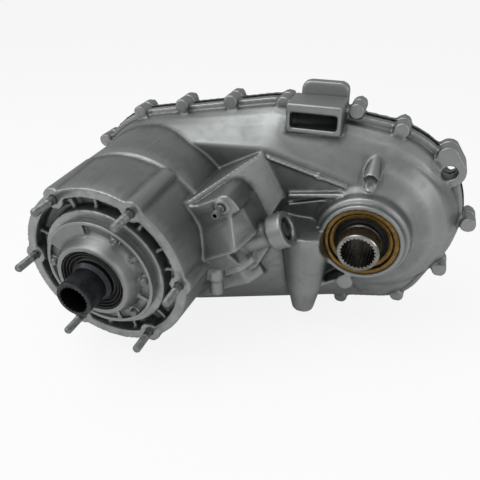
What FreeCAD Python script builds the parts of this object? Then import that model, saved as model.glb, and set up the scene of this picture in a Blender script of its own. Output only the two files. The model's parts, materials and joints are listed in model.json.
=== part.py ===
import FreeCAD, Part
import math
import os

# Two-speed, chain-driven transfer case. Millimetres, +Z up. The origin is the centre of the six-stud
# transmission flange; the main shaft runs along +Y from there, and the front output shaft lies beside it.

os.makedirs("parts", exist_ok=True)
Vector = FreeCAD.Vector
along_y = Vector(0, 1, 0)

# ---- general clearances
seat_gap = 0.3          # between pieces that seat loosely
fit_gap = 0.05          # radial gap of a bearing seat, a running fit or a threaded shank
side_gap = 0.5          # end float beside a gear or thrust face
case_wall = 7.0

# ---- the two axes and the parting plane
output_x = 269.7
output_z = 14.2
parting_y = 205.0
sealant_thickness = 0.8
rear_joint_y = parting_y + sealant_thickness

# ---- transmission flange and its studs
flange_r = 103.0
flange_recess_outer_r = 91.0
flange_recess_inner_r = 76.5
flange_recess_depth = 18.0
front_wall = 9.0
stud_circle_r = 95.0
stud_count = 6
stud_r = 5.0
stud_reach = 32.0
stud_depth = 22.0
stud_root_r = 4.8       # coarse end in the casting
stud_boss_r = 12.0
barrel_seam_y = 79.0
barrel_seam_r = 107.0
barrel_rear_r = 112.5

# ---- input bearing retainer
retainer_r = 67.8
retainer_rim_height = 10.4
retainer_dish_floor = 5.0
retainer_hub_r = 50.0
retainer_mouth_y = -24.0
retainer_mouth_r = 44.0
retainer_bolt_circle_r = 59.0
retainer_bolt_angles = [5.0, 60.0, 175.0, 245.0, 310.0]
retainer_bolt_r = 3.0

# ---- input gear: splined nose, bearing seat and sun gear
nose_y = -57.0
nose_r = 21.3
nose_bore_r = 17.2
nose_spline_depth = 1.3
nose_spline_count = 24
nose_bore_depth = 46.0
input_seat_r = 25.0
seal_r = 39.2
seal_width = 11.0

# ---- ball bearings: seat radius inside, seat radius outside, width
input_bearing_outer_r = 45.0
input_bearing_width = 20.0
input_ball_r = 6.0
output_seat_r = 25.0
output_bearing_outer_r = 40.0
output_bearing_width = 16.0
output_ball_r = 4.6
rear_bearing_outer_r = 42.5
rear_bearing_width = 19.0
rear_ball_r = 5.8
ball_count = 8

# ---- planetary gear set
gear_module = 2.5
sun_teeth = 36
planet_teeth = 12
ring_teeth = sun_teeth + 2 * planet_teeth
pressure_angle = math.radians(25.0)
addendum = 0.8 * gear_module
dedendum = 1.0 * gear_module
backlash = 0.22
gear_width = 30.0
planet_count = 4
planet_pin_r = 6.0
annulus_wall = 13.0
carrier_plate = 7.0
carrier_run_gap = 4.0
carrier_rear_plate = 8.0

# ---- range clutch (32 teeth) and mode clutch
clutch_teeth = 32
clutch_tip_r = 34.5
clutch_root_r = 31.0
clutch_width = 8.0
clutch_gap = 0.5
clutch_slack = 0.3
range_collar_r = 40.0
sleeve_bore_gap = 0.3
groove_width = 6.0
groove_depth = 7.0
mode_teeth = 24
mode_tip_r = 39.0
mode_root_r = 36.0
mode_hub_width = 14.0
mode_sleeve_width = 16.0
mode_sleeve_r = 48.0
mode_travel = 12.0

# ---- main shaft
shaft_r = 22.0
pilot_r = 12.0
pilot_bearing_r = 16.0
shaft_tail_y = 372.0
shaft_spline_r = 20.0
shaft_spline_count = 16

# ---- chain and sprockets
sprocket_teeth = 36
chain_half_span_links = 41
chain_width = 30.0
link_height = 9.0
link_gap = 0.5
chain_centre_y = 187.0
sprocket_gap = 0.5

# ---- front output shaft
output_nose_y = 102.5
output_nose_r = 24.0
output_bore_r = 20.0
output_spline_depth = 1.3
output_spline_count = 27
output_bore_depth = 40.0
output_seal_y = 126.0
output_seal_r = 43.7
output_seal_width = 9.0
output_tail_r = 15.0
output_tail_bearing_r = 31.0
output_tail_bearing_width = 16.0

# ---- shift mechanism, laid out in a frame tilted about the main axis
tilt_degrees = 27.8
rail_u = 84.0
rail_w = -27.0
rail_r = 8.0
fork_hub_r = 13.0
fork_gap = 0.3
sector_y = 92.0
sector_w = -55.0
sector_range_degrees = 48.0
sector_face_u = 187.0
sector_boss_r = 21.0
sector_boss_u = 167.0
sector_neck_r = 15.0
sector_shaft_r = 8.0
range_bar_u = 99.0
mode_bar_u = 106.0
sector_plate_u = 114.0
sector_plate = 5.0
bar_thickness = 6.0
drive_pin_r = 2.0

# ---- oil pump
pump_lobes = 6
pump_lobe_points = 18
pump_lobe_circle_r = 42.0
pump_lobe_r = 9.0
pump_offset = 3.5
pump_ring_r = 55.0
pump_housing_r = 68.0
pump_front_y = 214.0
pump_front_plate = 8.0
pump_gap = 0.3
pump_bolt_r = 3.0
pump_bolt_circle_r = 62.0
pump_bolt_angles = [45.0, 135.0, 225.0, 315.0]
pickup_r = 5.0
pickup_y = 224.0
pickup_drop = 74.0

# ---- rear case and extension
rear_flange = 12.0
rear_wall_y = 236.0
rear_wall = 8.0
rear_boss_r = 58.0
rear_face_y = 268.0
extension_flange_r = 68.0
extension_flange = 12.0
extension_end_y = 398.0
extension_bolt_circle_r = 59.0
extension_bolt_count = 6
extension_neck_r = 36.0
yoke_bush_r = 24.0
plug_r = 9.0
plug_places = [(150.0, -52.0), (196.0, 62.0)]

# ---- vent and hanger hole
vent_x = 125.0
vent_z = 72.5
vent_tip_y = 38.0
vent_seat_y = 66.0
vent_r = 4.5
hanger_x = 352.0
hanger_z = 88.0
hanger_r = 8.5

# ---- cast housing round the shift mechanism: (x, z) outlines of the crown, (u, y) and (y, w) ones of the rest
shift_face_y = 58.0
crown_outline = [
    (82.0, 66.0), (96.0, 69.0), (115.0, 80.0), (124.0, 86.0), (131.0, 87.0),
    (138.0, 82.0), (146.0, 72.0), (132.0, 60.0), (97.0, 41.0),
]
crown_root_outline = [
    (84.0, 61.0), (100.0, 74.0), (113.0, 80.0), (120.0, 80.0), (127.0, 77.0),
    (134.0, 70.0), (140.0, 61.0), (128.0, 50.0), (95.0, 38.0),
]
crown_root_y = 125.0
crown_top_w = 24.0
face_u = 104.0
brow_u = 173.0
slope_end_y = 150.0
nose_top_w = -8.0
nose_lip_w = -41.0
nose_lip_y = 43.0
nose_lip = 3.0
nose_foot_w = -72.0
nose_foot_y = 64.0
nose_side_u = 139.0
nose_low_u = 124.0

# ---- case bolts
case_bolt_r = 4.0
case_boss_r = 9.0
case_boss_length = 20.0
case_bolt_head = 6.0
# round the parting line, counterclockwise from the right end
case_bolt_places = [
    (385.0, 25.0), (347.0, 106.0), (293.0, 131.0), (241.0, 148.0), (155.0, 149.0), (88.0, 145.0),
    (21.0, 134.0), (-42.0, 119.0), (-104.0, 73.0), (-127.0, 5.0), (-108.0, -66.0), (-52.0, -116.0),
    (22.0, -127.0), (98.0, -124.0), (172.0, -122.0), (248.0, -120.0), (322.0, -98.0), (366.0, -45.0),
]


# ================= derived stations along the main axis
input_bearing_y = seat_gap
input_bearing_end = input_bearing_y + input_bearing_width
front_wall_y = flange_recess_depth + front_wall
carrier_y = front_wall_y + carrier_run_gap
gear_y = carrier_y + carrier_plate + side_gap
gear_end = gear_y + gear_width
carrier_rear_y = gear_end + side_gap
carrier_clutch_y = carrier_rear_y + carrier_rear_plate + clutch_gap
carrier_end = carrier_clutch_y + clutch_width + 2 * clutch_gap
sleeve_y = gear_end - clutch_width - clutch_gap
range_travel = carrier_clutch_y + clutch_gap - sleeve_y
sleeve_groove_y = carrier_end + 14.0
sleeve_end = sleeve_groove_y + groove_width + 4.0
mode_hub_y = sleeve_end + range_travel + 4.0
mode_hub_end = mode_hub_y + mode_hub_width
mode_sleeve_y = mode_hub_end - mode_sleeve_width
mode_groove_y = mode_sleeve_y + (mode_sleeve_width - groove_width) / 2
sprocket_clutch_y = mode_hub_end + 2 * clutch_gap + 1.0
sprocket_clutch_end = mode_hub_end + mode_travel
chain_y = chain_centre_y - chain_width / 2
chain_end = chain_centre_y + chain_width / 2
sprocket_end = chain_end + 1.5

# ================= derived radii
sun_pitch_r = gear_module * sun_teeth / 2
planet_pitch_r = gear_module * planet_teeth / 2
ring_pitch_r = gear_module * ring_teeth / 2
planet_circle_r = sun_pitch_r + planet_pitch_r
annulus_r = ring_pitch_r + dedendum + annulus_wall
centre_distance = math.hypot(output_x, output_z)
chain_pitch = 2 * centre_distance / chain_half_span_links
sprocket_pitch_r = sprocket_teeth * chain_pitch / (2 * math.pi)
sprocket_tip_r = sprocket_pitch_r - link_height / 2 - sprocket_gap
output_bearing_y = output_seal_y + output_seal_width + 4.0
output_bearing_end = output_bearing_y + output_bearing_width
output_tail_y = 212.0
output_tail_end = output_tail_y + output_tail_bearing_width
rear_bearing_end = rear_face_y - 2.0
rear_bearing_y = rear_bearing_end - rear_bearing_width
rear_rim_y = rear_joint_y + rear_flange
rear_back_y = rear_wall_y + rear_wall
rail_front_y = gear_end + 6.5
rail_rear_y = rear_wall_y - 10.0
range_pin_reach = range_travel / 2 / math.sin(math.radians(sector_range_degrees / 2))
mode_pin_reach = mode_travel / 2 / math.sin(math.radians(sector_range_degrees / 2))


# ================= shape helpers
def polar(radius, degrees, x=0.0, z=0.0):
    angle = math.radians(degrees)
    return x + radius * math.cos(angle), z + radius * math.sin(angle)


def disc(radius, front, rear, x=0.0, z=0.0):
    return Part.makeCylinder(radius, rear - front, Vector(x, front, z), along_y)


def ring(outer, inner, front, rear, x=0.0, z=0.0):
    return disc(outer, front, rear, x, z).cut(disc(inner, front, rear, x, z))


def taper(front_r, rear_r, front, rear, x=0.0, z=0.0):
    return Part.makeCone(front_r, rear_r, rear - front, Vector(x, front, z), along_y)


# a closed (radius, y) profile turned about an axis parallel to Y
def turned(profile, x=0.0, z=0.0):
    points = [Vector(x + radius, y, z) for radius, y in profile]
    face = Part.Face(Part.makePolygon(points + points[:1]))
    return face.revolve(Vector(x, 0, z), along_y, 360)


# a closed (x, z) outline drawn out along Y
def plate(outline, front, rear):
    points = [Vector(x, front, z) for x, z in outline]
    face = Part.Face(Part.makePolygon(points + points[:1]))
    return face.extrude(Vector(0, rear - front, 0))


# the closed wire that a belt makes round (x, z, radius) circles, listed counterclockwise, at one y
def belt(circles, y):
    count = len(circles)
    tangents = []
    for index in range(count):
        x1, z1, r1 = circles[index]
        x2, z2, r2 = circles[(index + 1) % count]
        span = math.hypot(x2 - x1, z2 - z1)
        tangents.append(math.atan2(z2 - z1, x2 - x1) - math.acos((r1 - r2) / span))
    edges = []
    for index in range(count):
        x, z, radius = circles[index]
        start = tangents[index - 1]
        end = tangents[index]
        while end <= start:
            end += 2 * math.pi
        arc = [
            Vector(x + radius * math.cos(angle), y, z + radius * math.sin(angle))
            for angle in (start, (start + end) / 2, end)
        ]
        following = circles[(index + 1) % count]
        landing = Vector(
            following[0] + following[2] * math.cos(end), y, following[1] + following[2] * math.sin(end)
        )
        edges.append(Part.Arc(arc[0], arc[1], arc[2]).toShape())
        edges.append(Part.LineSegment(arc[2], landing).toShape())
    return Part.Wire(edges)


def belt_plate(circles, front, rear):
    return Part.Face(belt(circles, front)).extrude(Vector(0, rear - front, 0))


def grown(circles, amount):
    return [(x, z, radius + amount) for x, z, radius in circles]


# a solid that runs through belts given as (circles, y)
def belt_loft(sections):
    wires = [belt(circles, y) for circles, y in sections]
    return Part.makeLoft(wires, True, True)


# a solid between two circles that may be off each other's axis, in four quarters
def oblique(x1, z1, r1, y1, x2, z2, r2, y2):
    wires = []
    for x, z, radius, y in ((x1, z1, r1, y1), (x2, z2, r2, y2)):
        spokes = []
        for step in range(9):
            place = polar(radius, 45 * step, x, z)
            spokes.append(Vector(place[0], y, place[1]))
        arcs = [Part.Arc(*spokes[first:first + 3]).toShape() for first in (0, 2, 4, 6)]
        wires.append(Part.Wire(arcs))
    return Part.makeLoft(wires, True, True)


# toothed outline: half widths are angles, at the low and the high radius
def toothed(teeth, low_r, high_r, low_half, high_half, turn=0.0, x=0.0, z=0.0):
    points = []
    for index in range(teeth):
        centre = turn + 2 * math.pi * index / teeth
        for radius, angle in (
            (low_r, centre - low_half),
            (high_r, centre - high_half),
            (high_r, centre + high_half),
            (low_r, centre + low_half),
        ):
            points.append((x + radius * math.cos(angle), z + radius * math.sin(angle)))
    return points


def involute(angle):
    return math.tan(angle) - angle


# outline of an involute wheel; thinning is taken off each flank along the pitch circle
def wheel(teeth, low_r, high_r, thinning, turn=0.0, x=0.0, z=0.0):
    pitch_r = gear_module * teeth / 2
    base_r = pitch_r * math.cos(pressure_angle)
    halves = []
    for radius in (low_r, high_r):
        slope = math.acos(min(1.0, base_r / radius))
        half = math.pi / (2 * teeth) - thinning / pitch_r + involute(pressure_angle) - involute(slope)
        halves.append(half)
    return toothed(teeth, low_r, high_r, halves[0], halves[1], turn, x, z)


# straight-sided spline or dog teeth; slack widens an internal one and deepens it at both ends
def spline(teeth, root_r, tip_r, slack=0.0, turn=0.0):
    pitch = 2 * math.pi / teeth
    low_r = root_r + slack
    high_r = tip_r + slack
    return toothed(
        teeth, low_r, high_r, 0.27 * pitch + slack / root_r, 0.21 * pitch + slack / tip_r, turn
    )


def hexagon(across, front, rear, x, z, turn=0.0):
    corner_r = across / math.sqrt(3)
    return plate([polar(corner_r, turn + 60 * index, x, z) for index in range(6)], front, rear)


# place in the tilted frame: u leads away from the main axis, w stands across it
def tilted(u, y, w):
    angle = math.radians(tilt_degrees)
    x = u * math.cos(angle) - w * math.sin(angle)
    z = u * math.sin(angle) + w * math.cos(angle)
    return Vector(x, y, z)


def tilted_block(u1, u2, y1, y2, w1, w2):
    block = Part.makeBox(u2 - u1, y2 - y1, w2 - w1, Vector(u1, y1, w1))
    block.rotate(Vector(0, 0, 0), along_y, -tilt_degrees)
    return block


def tilted_plate(outline, w1, w2):
    points = [tilted(u, y, w1) for u, y in outline]
    face = Part.Face(Part.makePolygon(points + points[:1]))
    return face.extrude(tilted(0, 0, w2 - w1))


def tilted_rod(radius, u1, u2, y, w):
    return Part.makeCylinder(radius, u2 - u1, tilted(u1, y, w), tilted(1, 0, 0))


def joined(shapes):
    return shapes[0].multiFuse(shapes[1:])


def save(name, *shapes):
    solids = []
    for shape in shapes:
        solids.extend(shape.Solids)
    for solid in solids:
        if not solid.isValid():
            print("not valid:", name)
    shape = solids[0] if len(solids) == 1 else Part.makeCompound(solids)
    shape.exportStep("parts/" + name + ".step")
    print(name, len(solids), round(sum(solid.Volume for solid in solids)))


# ================= outlines of the case
# the main bore, the sump, the front output and the roof between them, counterclockwise
joint_outline = [
    (0.0, 0.0, 126.0),
    (225.0, -66.0, 60.0),
    (288.0, -50.0, 62.0),
    (264.0, 24.0, 113.0),
    (150.0, 56.0, 98.0),
]
shell_outline = grown(joint_outline, -7.0)
brow_outline = [
    (0.0, 0.0, 100.0),
    (216.0, -24.0, 36.0),
    (248.0, -10.0, 38.0),
    (264.0, 16.0, 56.0),
    (140.0, 46.0, 60.0),
]
rear_dish_outline = [
    (0.0, 0.0, 98.0),
    (224.0, -62.0, 38.0),
    (288.0, -48.0, 30.0),
    (output_x, output_z, 84.0),
    (150.0, 50.0, 68.0),
]
brow_y = 150.0
shell_y = parting_y - 12.0
# the bell round the front output, where it clears the chain
bell_waist_y = 170.0
bell_waist_r = 92.5
# where the belly leaves the barrel: x, z, radius
belly_front = (50.0, -32.0, 68.0)
belly_y = 94.0


# the case between the brow and the joint, rounded over like a quarter of an ellipse
def shoulder_sections(steps, inward=0.0):
    sections = []
    for step in range(steps + 1):
        share = step / steps
        swell = math.sin(share * math.pi / 2)
        circles = [
            (near[0] + (far[0] - near[0]) * swell, near[1] + (far[1] - near[1]) * swell,
             near[2] + (far[2] - near[2]) * swell - inward)
            for near, far in zip(brow_outline, shell_outline)
        ]
        sections.append((circles, brow_y + inward + (shell_y + 1 - brow_y - inward) * share))
    return sections


def case_shell_outside():
    barrel = turned([
        (0, 0),
        (flange_r, 0),
        (barrel_seam_r, barrel_seam_y),
        (barrel_seam_r + 3, barrel_seam_y + 3),
        (barrel_rear_r, parting_y),
        (0, parting_y),
    ])
    shoulder = belt_loft(shoulder_sections(5))
    rim = belt_plate(joint_outline, shell_y, parting_y)
    bell = turned([
        (0, output_seal_y - 3),
        (output_seal_r + 4, output_seal_y - 3),
        (output_seal_r + 5.5, output_seal_y - 1.5),
        (output_seal_r + 5.5, output_seal_y + 4),
        (output_seal_r + 10.5, output_seal_y + 6),
        (output_seal_r + 12, output_bearing_y + 4),
        (62, output_bearing_end - 6),
        (80, bell_waist_y - 11),
        (bell_waist_r, bell_waist_y),
        (106, shell_y),
        (0, shell_y),
    ], output_x, output_z)
    belly = oblique(belly_front[0], belly_front[1], belly_front[2], belly_y, 280, -48, 60, shell_y)
    return [barrel, shoulder, rim, bell, belly]


def case_shell_inside():
    barrel = turned([
        (0, gear_end + 6),
        (96, gear_end + 6),
        (99, barrel_seam_y + 10),
        (barrel_rear_r - case_wall, parting_y),
        (0, parting_y),
    ])
    shoulder = belt_loft(shoulder_sections(3, case_wall))
    mouth = belt_plate(grown(shell_outline, -case_wall), shell_y + 1, parting_y)
    bell = turned([
        (0, output_bearing_end + 4),
        (50, output_bearing_end + 4),
        (68, bell_waist_y - 8),
        (bell_waist_r - case_wall - 1, bell_waist_y + 1),
        (98, shell_y),
        (0, shell_y),
    ], output_x, output_z)
    belly = oblique(
        belly_front[0], belly_front[1], belly_front[2] - case_wall, belly_y + case_wall,
        280, -48, 60 - case_wall, shell_y + 1,
    )
    pocket = tilted_block(80, sector_plate_u + sector_plate + 4, gear_end + 6.5, 158, -70, -12)
    return joined([barrel, shoulder, mouth, bell, belly, pocket])


def flange_recess():
    recess = ring(flange_recess_outer_r, flange_recess_inner_r, 0, flange_recess_depth)
    ribs = []
    for angle in (9, 27, 50, 90, 112, 160, 200, 229, 262, 285, 318, 340):
        rib = Part.makeBox(flange_recess_outer_r, flange_recess_depth, 4, Vector(0, 8, -2))
        rib.rotate(Vector(0, 0, 0), along_y, -angle)
        ribs.append(rib)
    bosses = [disc(stud_boss_r, 0, flange_recess_depth, *polar(stud_circle_r, angle)) for angle in stud_angles()]
    return recess.cut(ribs).cut(bosses)


def stud_angles():
    return [360.0 * index / stud_count for index in range(stud_count)]


# a ruled solid between two (x, z) outlines with as many corners, each at its own y
def ruled(front_outline, front, rear_outline, rear):
    wires = []
    for outline, y in ((front_outline, front), (rear_outline, rear)):
        points = [Vector(x, y, z) for x, z in outline]
        wires.append(Part.makePolygon(points + points[:1]))
    return Part.makeLoft(wires, True, True)


# a (y, w) outline drawn out along u
def tilted_bar(outline, u1, u2):
    points = [tilted(u1, y, w) for y, w in outline]
    face = Part.Face(Part.makePolygon(points + points[:1]))
    return face.extrude(tilted(u2 - u1, 0, 0))


def shift_housing():
    crown = ruled(crown_outline, shift_face_y, crown_root_outline, crown_root_y)
    body = tilted_plate(
        [(60, shift_face_y), (face_u, shift_face_y), (brow_u, slope_end_y), (60, slope_end_y)], -60, crown_top_w)
    margin = [(60, -60), (149, -60), (155, -50), (176, -36), (176, 30), (60, 30)]
    corners = [tilted(u, 0, w) for u, w in margin]
    body = body.common(plate([(corner.x, corner.z) for corner in corners], 50, 160))
    # the nose leans forward to its lip, then falls back below it
    nose = tilted_bar([
        (shift_face_y, nose_top_w),
        (nose_lip_y, nose_lip_w),
        (nose_lip_y + 2, nose_lip_w - nose_lip),
        (nose_foot_y, nose_foot_w),
        (nose_foot_y + 11, nose_foot_w - 2),
        (120, nose_foot_w - 2),
        (120, nose_top_w),
    ], 70, 170)
    side = [(60, 30), (nose_side_u - 4, 30), (nose_side_u + 17, nose_foot_y + 14), (nose_side_u + 17, 120), (60, 120)]
    low_side = [(60, 30), (134, 30), (nose_low_u, nose_foot_y), (129, 77), (129, 120), (60, 120)]
    nose = nose.common(joined([
        tilted_plate(side, nose_lip_w - nose_lip, 0),
        tilted_plate(low_side, nose_foot_w - 10, nose_lip_w),
    ]))
    lip = tilted_plate([
        (70, nose_lip_y - 1),
        (nose_side_u + 3, nose_lip_y - 1),
        (nose_side_u + 19, nose_foot_y + 13),
        (nose_side_u + 19, nose_foot_y + 24),
        (70, nose_foot_y + 24),
    ], nose_lip_w - nose_lip, nose_lip_w)
    step = tilted_plate([(60, 74), (112, 74), (127, 90), (127, 120), (60, 120)], nose_foot_w - 14, nose_foot_w)
    wall = tilted_plate([(50, 88), (104, 88), (122, 104), (122, 125), (50, 125)], -112, nose_foot_w - 12)
    boss = tilted_rod(sector_boss_r, sector_boss_u, sector_face_u, sector_y, sector_w)
    neck = tilted_rod(sector_neck_r, sector_plate_u, sector_boss_u + 1, sector_y, sector_w)
    vent_boss = taper(vent_r + 3, vent_r + 5, shift_face_y - 3, shift_face_y + 1, vent_x, vent_z)
    collar = Part.makeCylinder(11, 14, Vector(109, nose_foot_y + 3, -18), Vector(0, 0, -1))
    plug = Part.makeCylinder(9, 36, Vector(110, nose_foot_y + 3, -20), Vector(0, 0, -1))
    gusset = plate([(160, 24), (178, 26), (152, -29), (139, -37)], 94, 128)
    return [crown, body, nose, lip, step, wall, boss, neck, vent_boss, collar, plug, gusset]


def window_lug():
    block = Part.makeBox(64, parting_y - 160, 34, Vector(165, 160, 125))
    return block.cut(Part.makeBox(54, 34, 17, Vector(170, 159, 131)))


def case_bosses(front, rear):
    return [disc(case_boss_r, front, rear, x, z) for x, z in case_bolt_places]


# cast ribs that run from the bell to its neighbours, and the pads on them
def bell_ribs():
    return [
        plate([(147, 98), (149, 94), (243, 70), (243, 74)], 145, shell_y),
        disc(3.5, 144, shell_y, 211, 80),
        plate([(176, 54), (176, 49), (242, 60), (242, 65)], 142, shell_y),
        plate([(176, 40), (176, 37), (240, 56), (240, 59)], 144, shell_y),
        plate([(190, -50), (193, -51), (226, 6), (223, 8)], 124, shell_y - 10),
        plate([(203, -72), (204, -76), (262, -38), (260, -34)], 124, shell_y - 10),
        Part.makeSphere(10, Vector(270, 140, 83)),
        oblique(270, 83, 10, 140, 271, 103, 6, 172),
        Part.makeSphere(6, Vector(271, 172, 103)),
        disc(10, 122, shell_y, 257, -45),
    ]


def front_case():
    outside = case_shell_outside()
    studs = [
        taper(stud_boss_r, stud_boss_r + 2, 0, barrel_seam_y, *polar(stud_circle_r + 2, angle))
        for angle in stud_angles()
    ]
    hanger = belt_plate([(hanger_x, hanger_z, 18), (347, 106, 12)], parting_y - case_boss_length, parting_y)
    post = Part.makeCone(34, 23, 82, Vector(206, 130, 22), Vector(0, 0, -1))
    post_tip = Part.makeCone(23, 14, 42, Vector(206, 130, -60), Vector(0, 0, -1))
    solids = outside + [hanger, post, post_tip, window_lug()] + studs + shift_housing() + bell_ribs()
    solids += case_bosses(parting_y - case_boss_length, parting_y)
    case = joined(solids)
    case = case.cut(case_shell_inside())
    # inside: bearing boss of the front output, rail boss
    inner_boss = ring(
        output_bearing_outer_r + 10, output_bearing_outer_r, output_bearing_y, output_bearing_end + 10,
        output_x, output_z,
    )
    rail_x, rail_z = rail_place()
    rail_boss = disc(fork_hub_r, gear_end + 6, gear_end + 24, rail_x, rail_z)
    rail_web = tilted_block(rail_u, rail_u + 26, gear_end + 6, gear_end + 22, rail_w + 6, rail_w + 18)
    case = joined([case, inner_boss, rail_boss, rail_web])
    cuts = [
        flange_recess(),
        disc(input_bearing_outer_r + fit_gap, -1, input_bearing_end + seat_gap),
        disc(input_bearing_outer_r - 5, -1, front_wall_y + 1),
        disc(annulus_r - 5, front_wall_y, gear_end),
        disc(annulus_r + fit_gap, gear_y - 1, gear_end + 7),
        disc(annulus_r + 3, gear_end + 1.3, gear_end + 3.5),
        disc(rail_r + fit_gap, gear_end + 5, parting_y, rail_x, rail_z),
        disc(output_seal_r + fit_gap, 0, output_seal_y + output_seal_width + seat_gap, output_x, output_z),
        disc(output_bearing_outer_r - 3, 100, parting_y - 1, output_x, output_z).cut(
            disc(60, output_bearing_end + 10, parting_y, output_x, output_z)),
        disc(output_bearing_outer_r + fit_gap, output_bearing_y, output_bearing_end + 10.5, output_x, output_z),
        tilted_rod(sector_shaft_r + fit_gap, sector_plate_u, sector_face_u + 1, sector_y, sector_w),
        tilted_rod(13.5, sector_face_u - 14, sector_face_u + 1, sector_y, sector_w),
        disc(hanger_r, 0, parting_y, hanger_x, hanger_z),
        vent_hole(),
    ]
    for angle in stud_angles():
        cuts.append(disc(stud_root_r + fit_gap, -1, stud_depth, *polar(stud_circle_r, angle)))
    for angle in retainer_bolt_angles:
        cuts.append(disc(retainer_bolt_r + fit_gap, -1, 14, *polar(retainer_bolt_circle_r, angle)))
    for x, z in case_bolt_places:
        cuts.append(disc(case_bolt_r + fit_gap, parting_y - 15, parting_y + 1, x, z))
    return case.cut(cuts)


def rail_place():
    place = tilted(rail_u, 0, rail_w)
    return place.x, place.z


def vent_hole():
    return disc(vent_r + fit_gap, shift_face_y - 5, vent_seat_y + 14, vent_x, vent_z)


# the cured bead along the outer edge of the joint, squeezed out a little past the flanges
def sealant_bead():
    bead = belt_plate(grown(joint_outline, 0.4), parting_y, rear_joint_y)
    bead = bead.cut(belt_plate(grown(joint_outline, -9), parting_y - 1, rear_joint_y + 1))
    holes = [disc(case_bolt_r + fit_gap, parting_y - 1, rear_joint_y + 1, x, z) for x, z in case_bolt_places]
    holes.append(disc(hanger_r + 0.5, parting_y - 1, rear_joint_y + 1, hanger_x, hanger_z))
    return bead.cut(holes)


# ================= rear half
def rear_case():
    rim = belt_plate(joint_outline, rear_joint_y, rear_rim_y)
    dish = belt_loft([(shell_outline, rear_rim_y), (rear_dish_outline, rear_back_y)])
    boss = taper(rear_boss_r + 4, rear_boss_r, rear_wall_y, rear_face_y, 0, 0)
    flange = disc(extension_flange_r, rear_face_y - 10, rear_face_y)
    output_dome = taper(output_tail_bearing_r + 14, output_tail_bearing_r + 8, rear_wall_y - 8, output_tail_end + 24,
                        output_x, output_z)
    hanger = belt_plate([(hanger_x, hanger_z, 18), (347, 106, 12)], rear_joint_y, rear_rim_y)
    tab = belt_plate([(182, 150, 10), (218, 150, 10), (218, 163, 10), (182, 163, 10)], rear_joint_y, rear_rim_y)
    ribs = []
    for angle in (30, 90, 150, 210, 270, 330):
        rib = Part.makeBox(96, rear_face_y - rear_back_y, 6, Vector(rear_boss_r - 20, rear_wall_y + 2, -3))
        slope = Part.makeBox(120, 60, 8, Vector(extension_flange_r - 4, rear_face_y - 8, -4))
        slope.rotate(Vector(extension_flange_r - 4, rear_face_y - 8, 0), Vector(0, 0, 1), -35)
        rib = rib.cut(slope)
        rib.rotate(Vector(0, 0, 0), along_y, -angle)
        ribs.append(rib)
    solids = [rim, dish, boss, flange, output_dome, hanger, tab]
    solids += case_bosses(rear_joint_y, rear_rim_y + 2) + plug_bosses()
    case = joined(solids)
    hollow = belt_loft([
        (grown(shell_outline, -case_wall), rear_joint_y),
        (grown(rear_dish_outline, -case_wall), rear_wall_y),
    ])
    case = case.cut(hollow)
    tail_boss = ring(output_tail_bearing_r + 8, output_tail_bearing_r, output_tail_y, rear_wall_y + 1, output_x, output_z)
    rail_x, rail_z = rail_place()
    rail_boss = disc(fork_hub_r, rear_joint_y + 4, rear_wall_y + 1, rail_x, rail_z)
    case = joined([case, tail_boss, rail_boss])
    cuts = [
        disc(shaft_r + 6, pump_front_y, rear_face_y + 1),
        disc(rear_bearing_outer_r + fit_gap, rear_bearing_y - seat_gap, rear_face_y + 1),
        disc(output_tail_bearing_r + fit_gap, output_tail_y - 1, output_tail_end, output_x, output_z),
        disc(output_tail_bearing_r - 5, output_tail_y, output_tail_end + 14, output_x, output_z),
        disc(rail_r + fit_gap, rear_joint_y, rear_wall_y - 8, rail_x, rail_z),
        disc(hanger_r, rear_joint_y - 1, rear_rim_y + 1, hanger_x, hanger_z),
    ]
    for x, z in case_bolt_places:
        cuts.append(disc(case_bolt_r + fit_gap, rear_joint_y - 1, rear_rim_y + 3, x, z))
        cuts.append(disc(case_boss_r - 0.5, rear_rim_y + 2, rear_back_y, x, z))
    for angle in extension_bolt_angles():
        cuts.append(disc(case_bolt_r + fit_gap, rear_face_y - 16, rear_face_y + 1, *polar(extension_bolt_circle_r, angle)))
    for angle in pump_bolt_angles:
        cuts.append(disc(pump_bolt_r + fit_gap, rear_wall_y - 1, rear_wall_y + 12, *polar(pump_bolt_circle_r, angle)))
    for x, z in plug_places:
        cuts.append(disc(plug_r + fit_gap, rear_wall_y - 20, rear_back_y + 8, x, z))
    return case.cut(cuts)


def extension_bolt_angles():
    return [30 + 360.0 * index / extension_bolt_count for index in range(extension_bolt_count)]


def plug_bosses():
    return [disc(plug_r + 6, rear_wall_y, rear_back_y + 3, x, z) for x, z in plug_places]


def oil_plugs():
    plugs = []
    for x, z in plug_places:
        shank = disc(plug_r, rear_back_y - 9, rear_back_y + 3, x, z)
        head = disc(plug_r + 3, rear_back_y + 3, rear_back_y + 6, x, z)
        plug = joined([shank, head])
        plugs.append(plug.cut(hexagon(8, rear_back_y - 2, rear_back_y + 7, x, z)))
    return plugs


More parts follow.
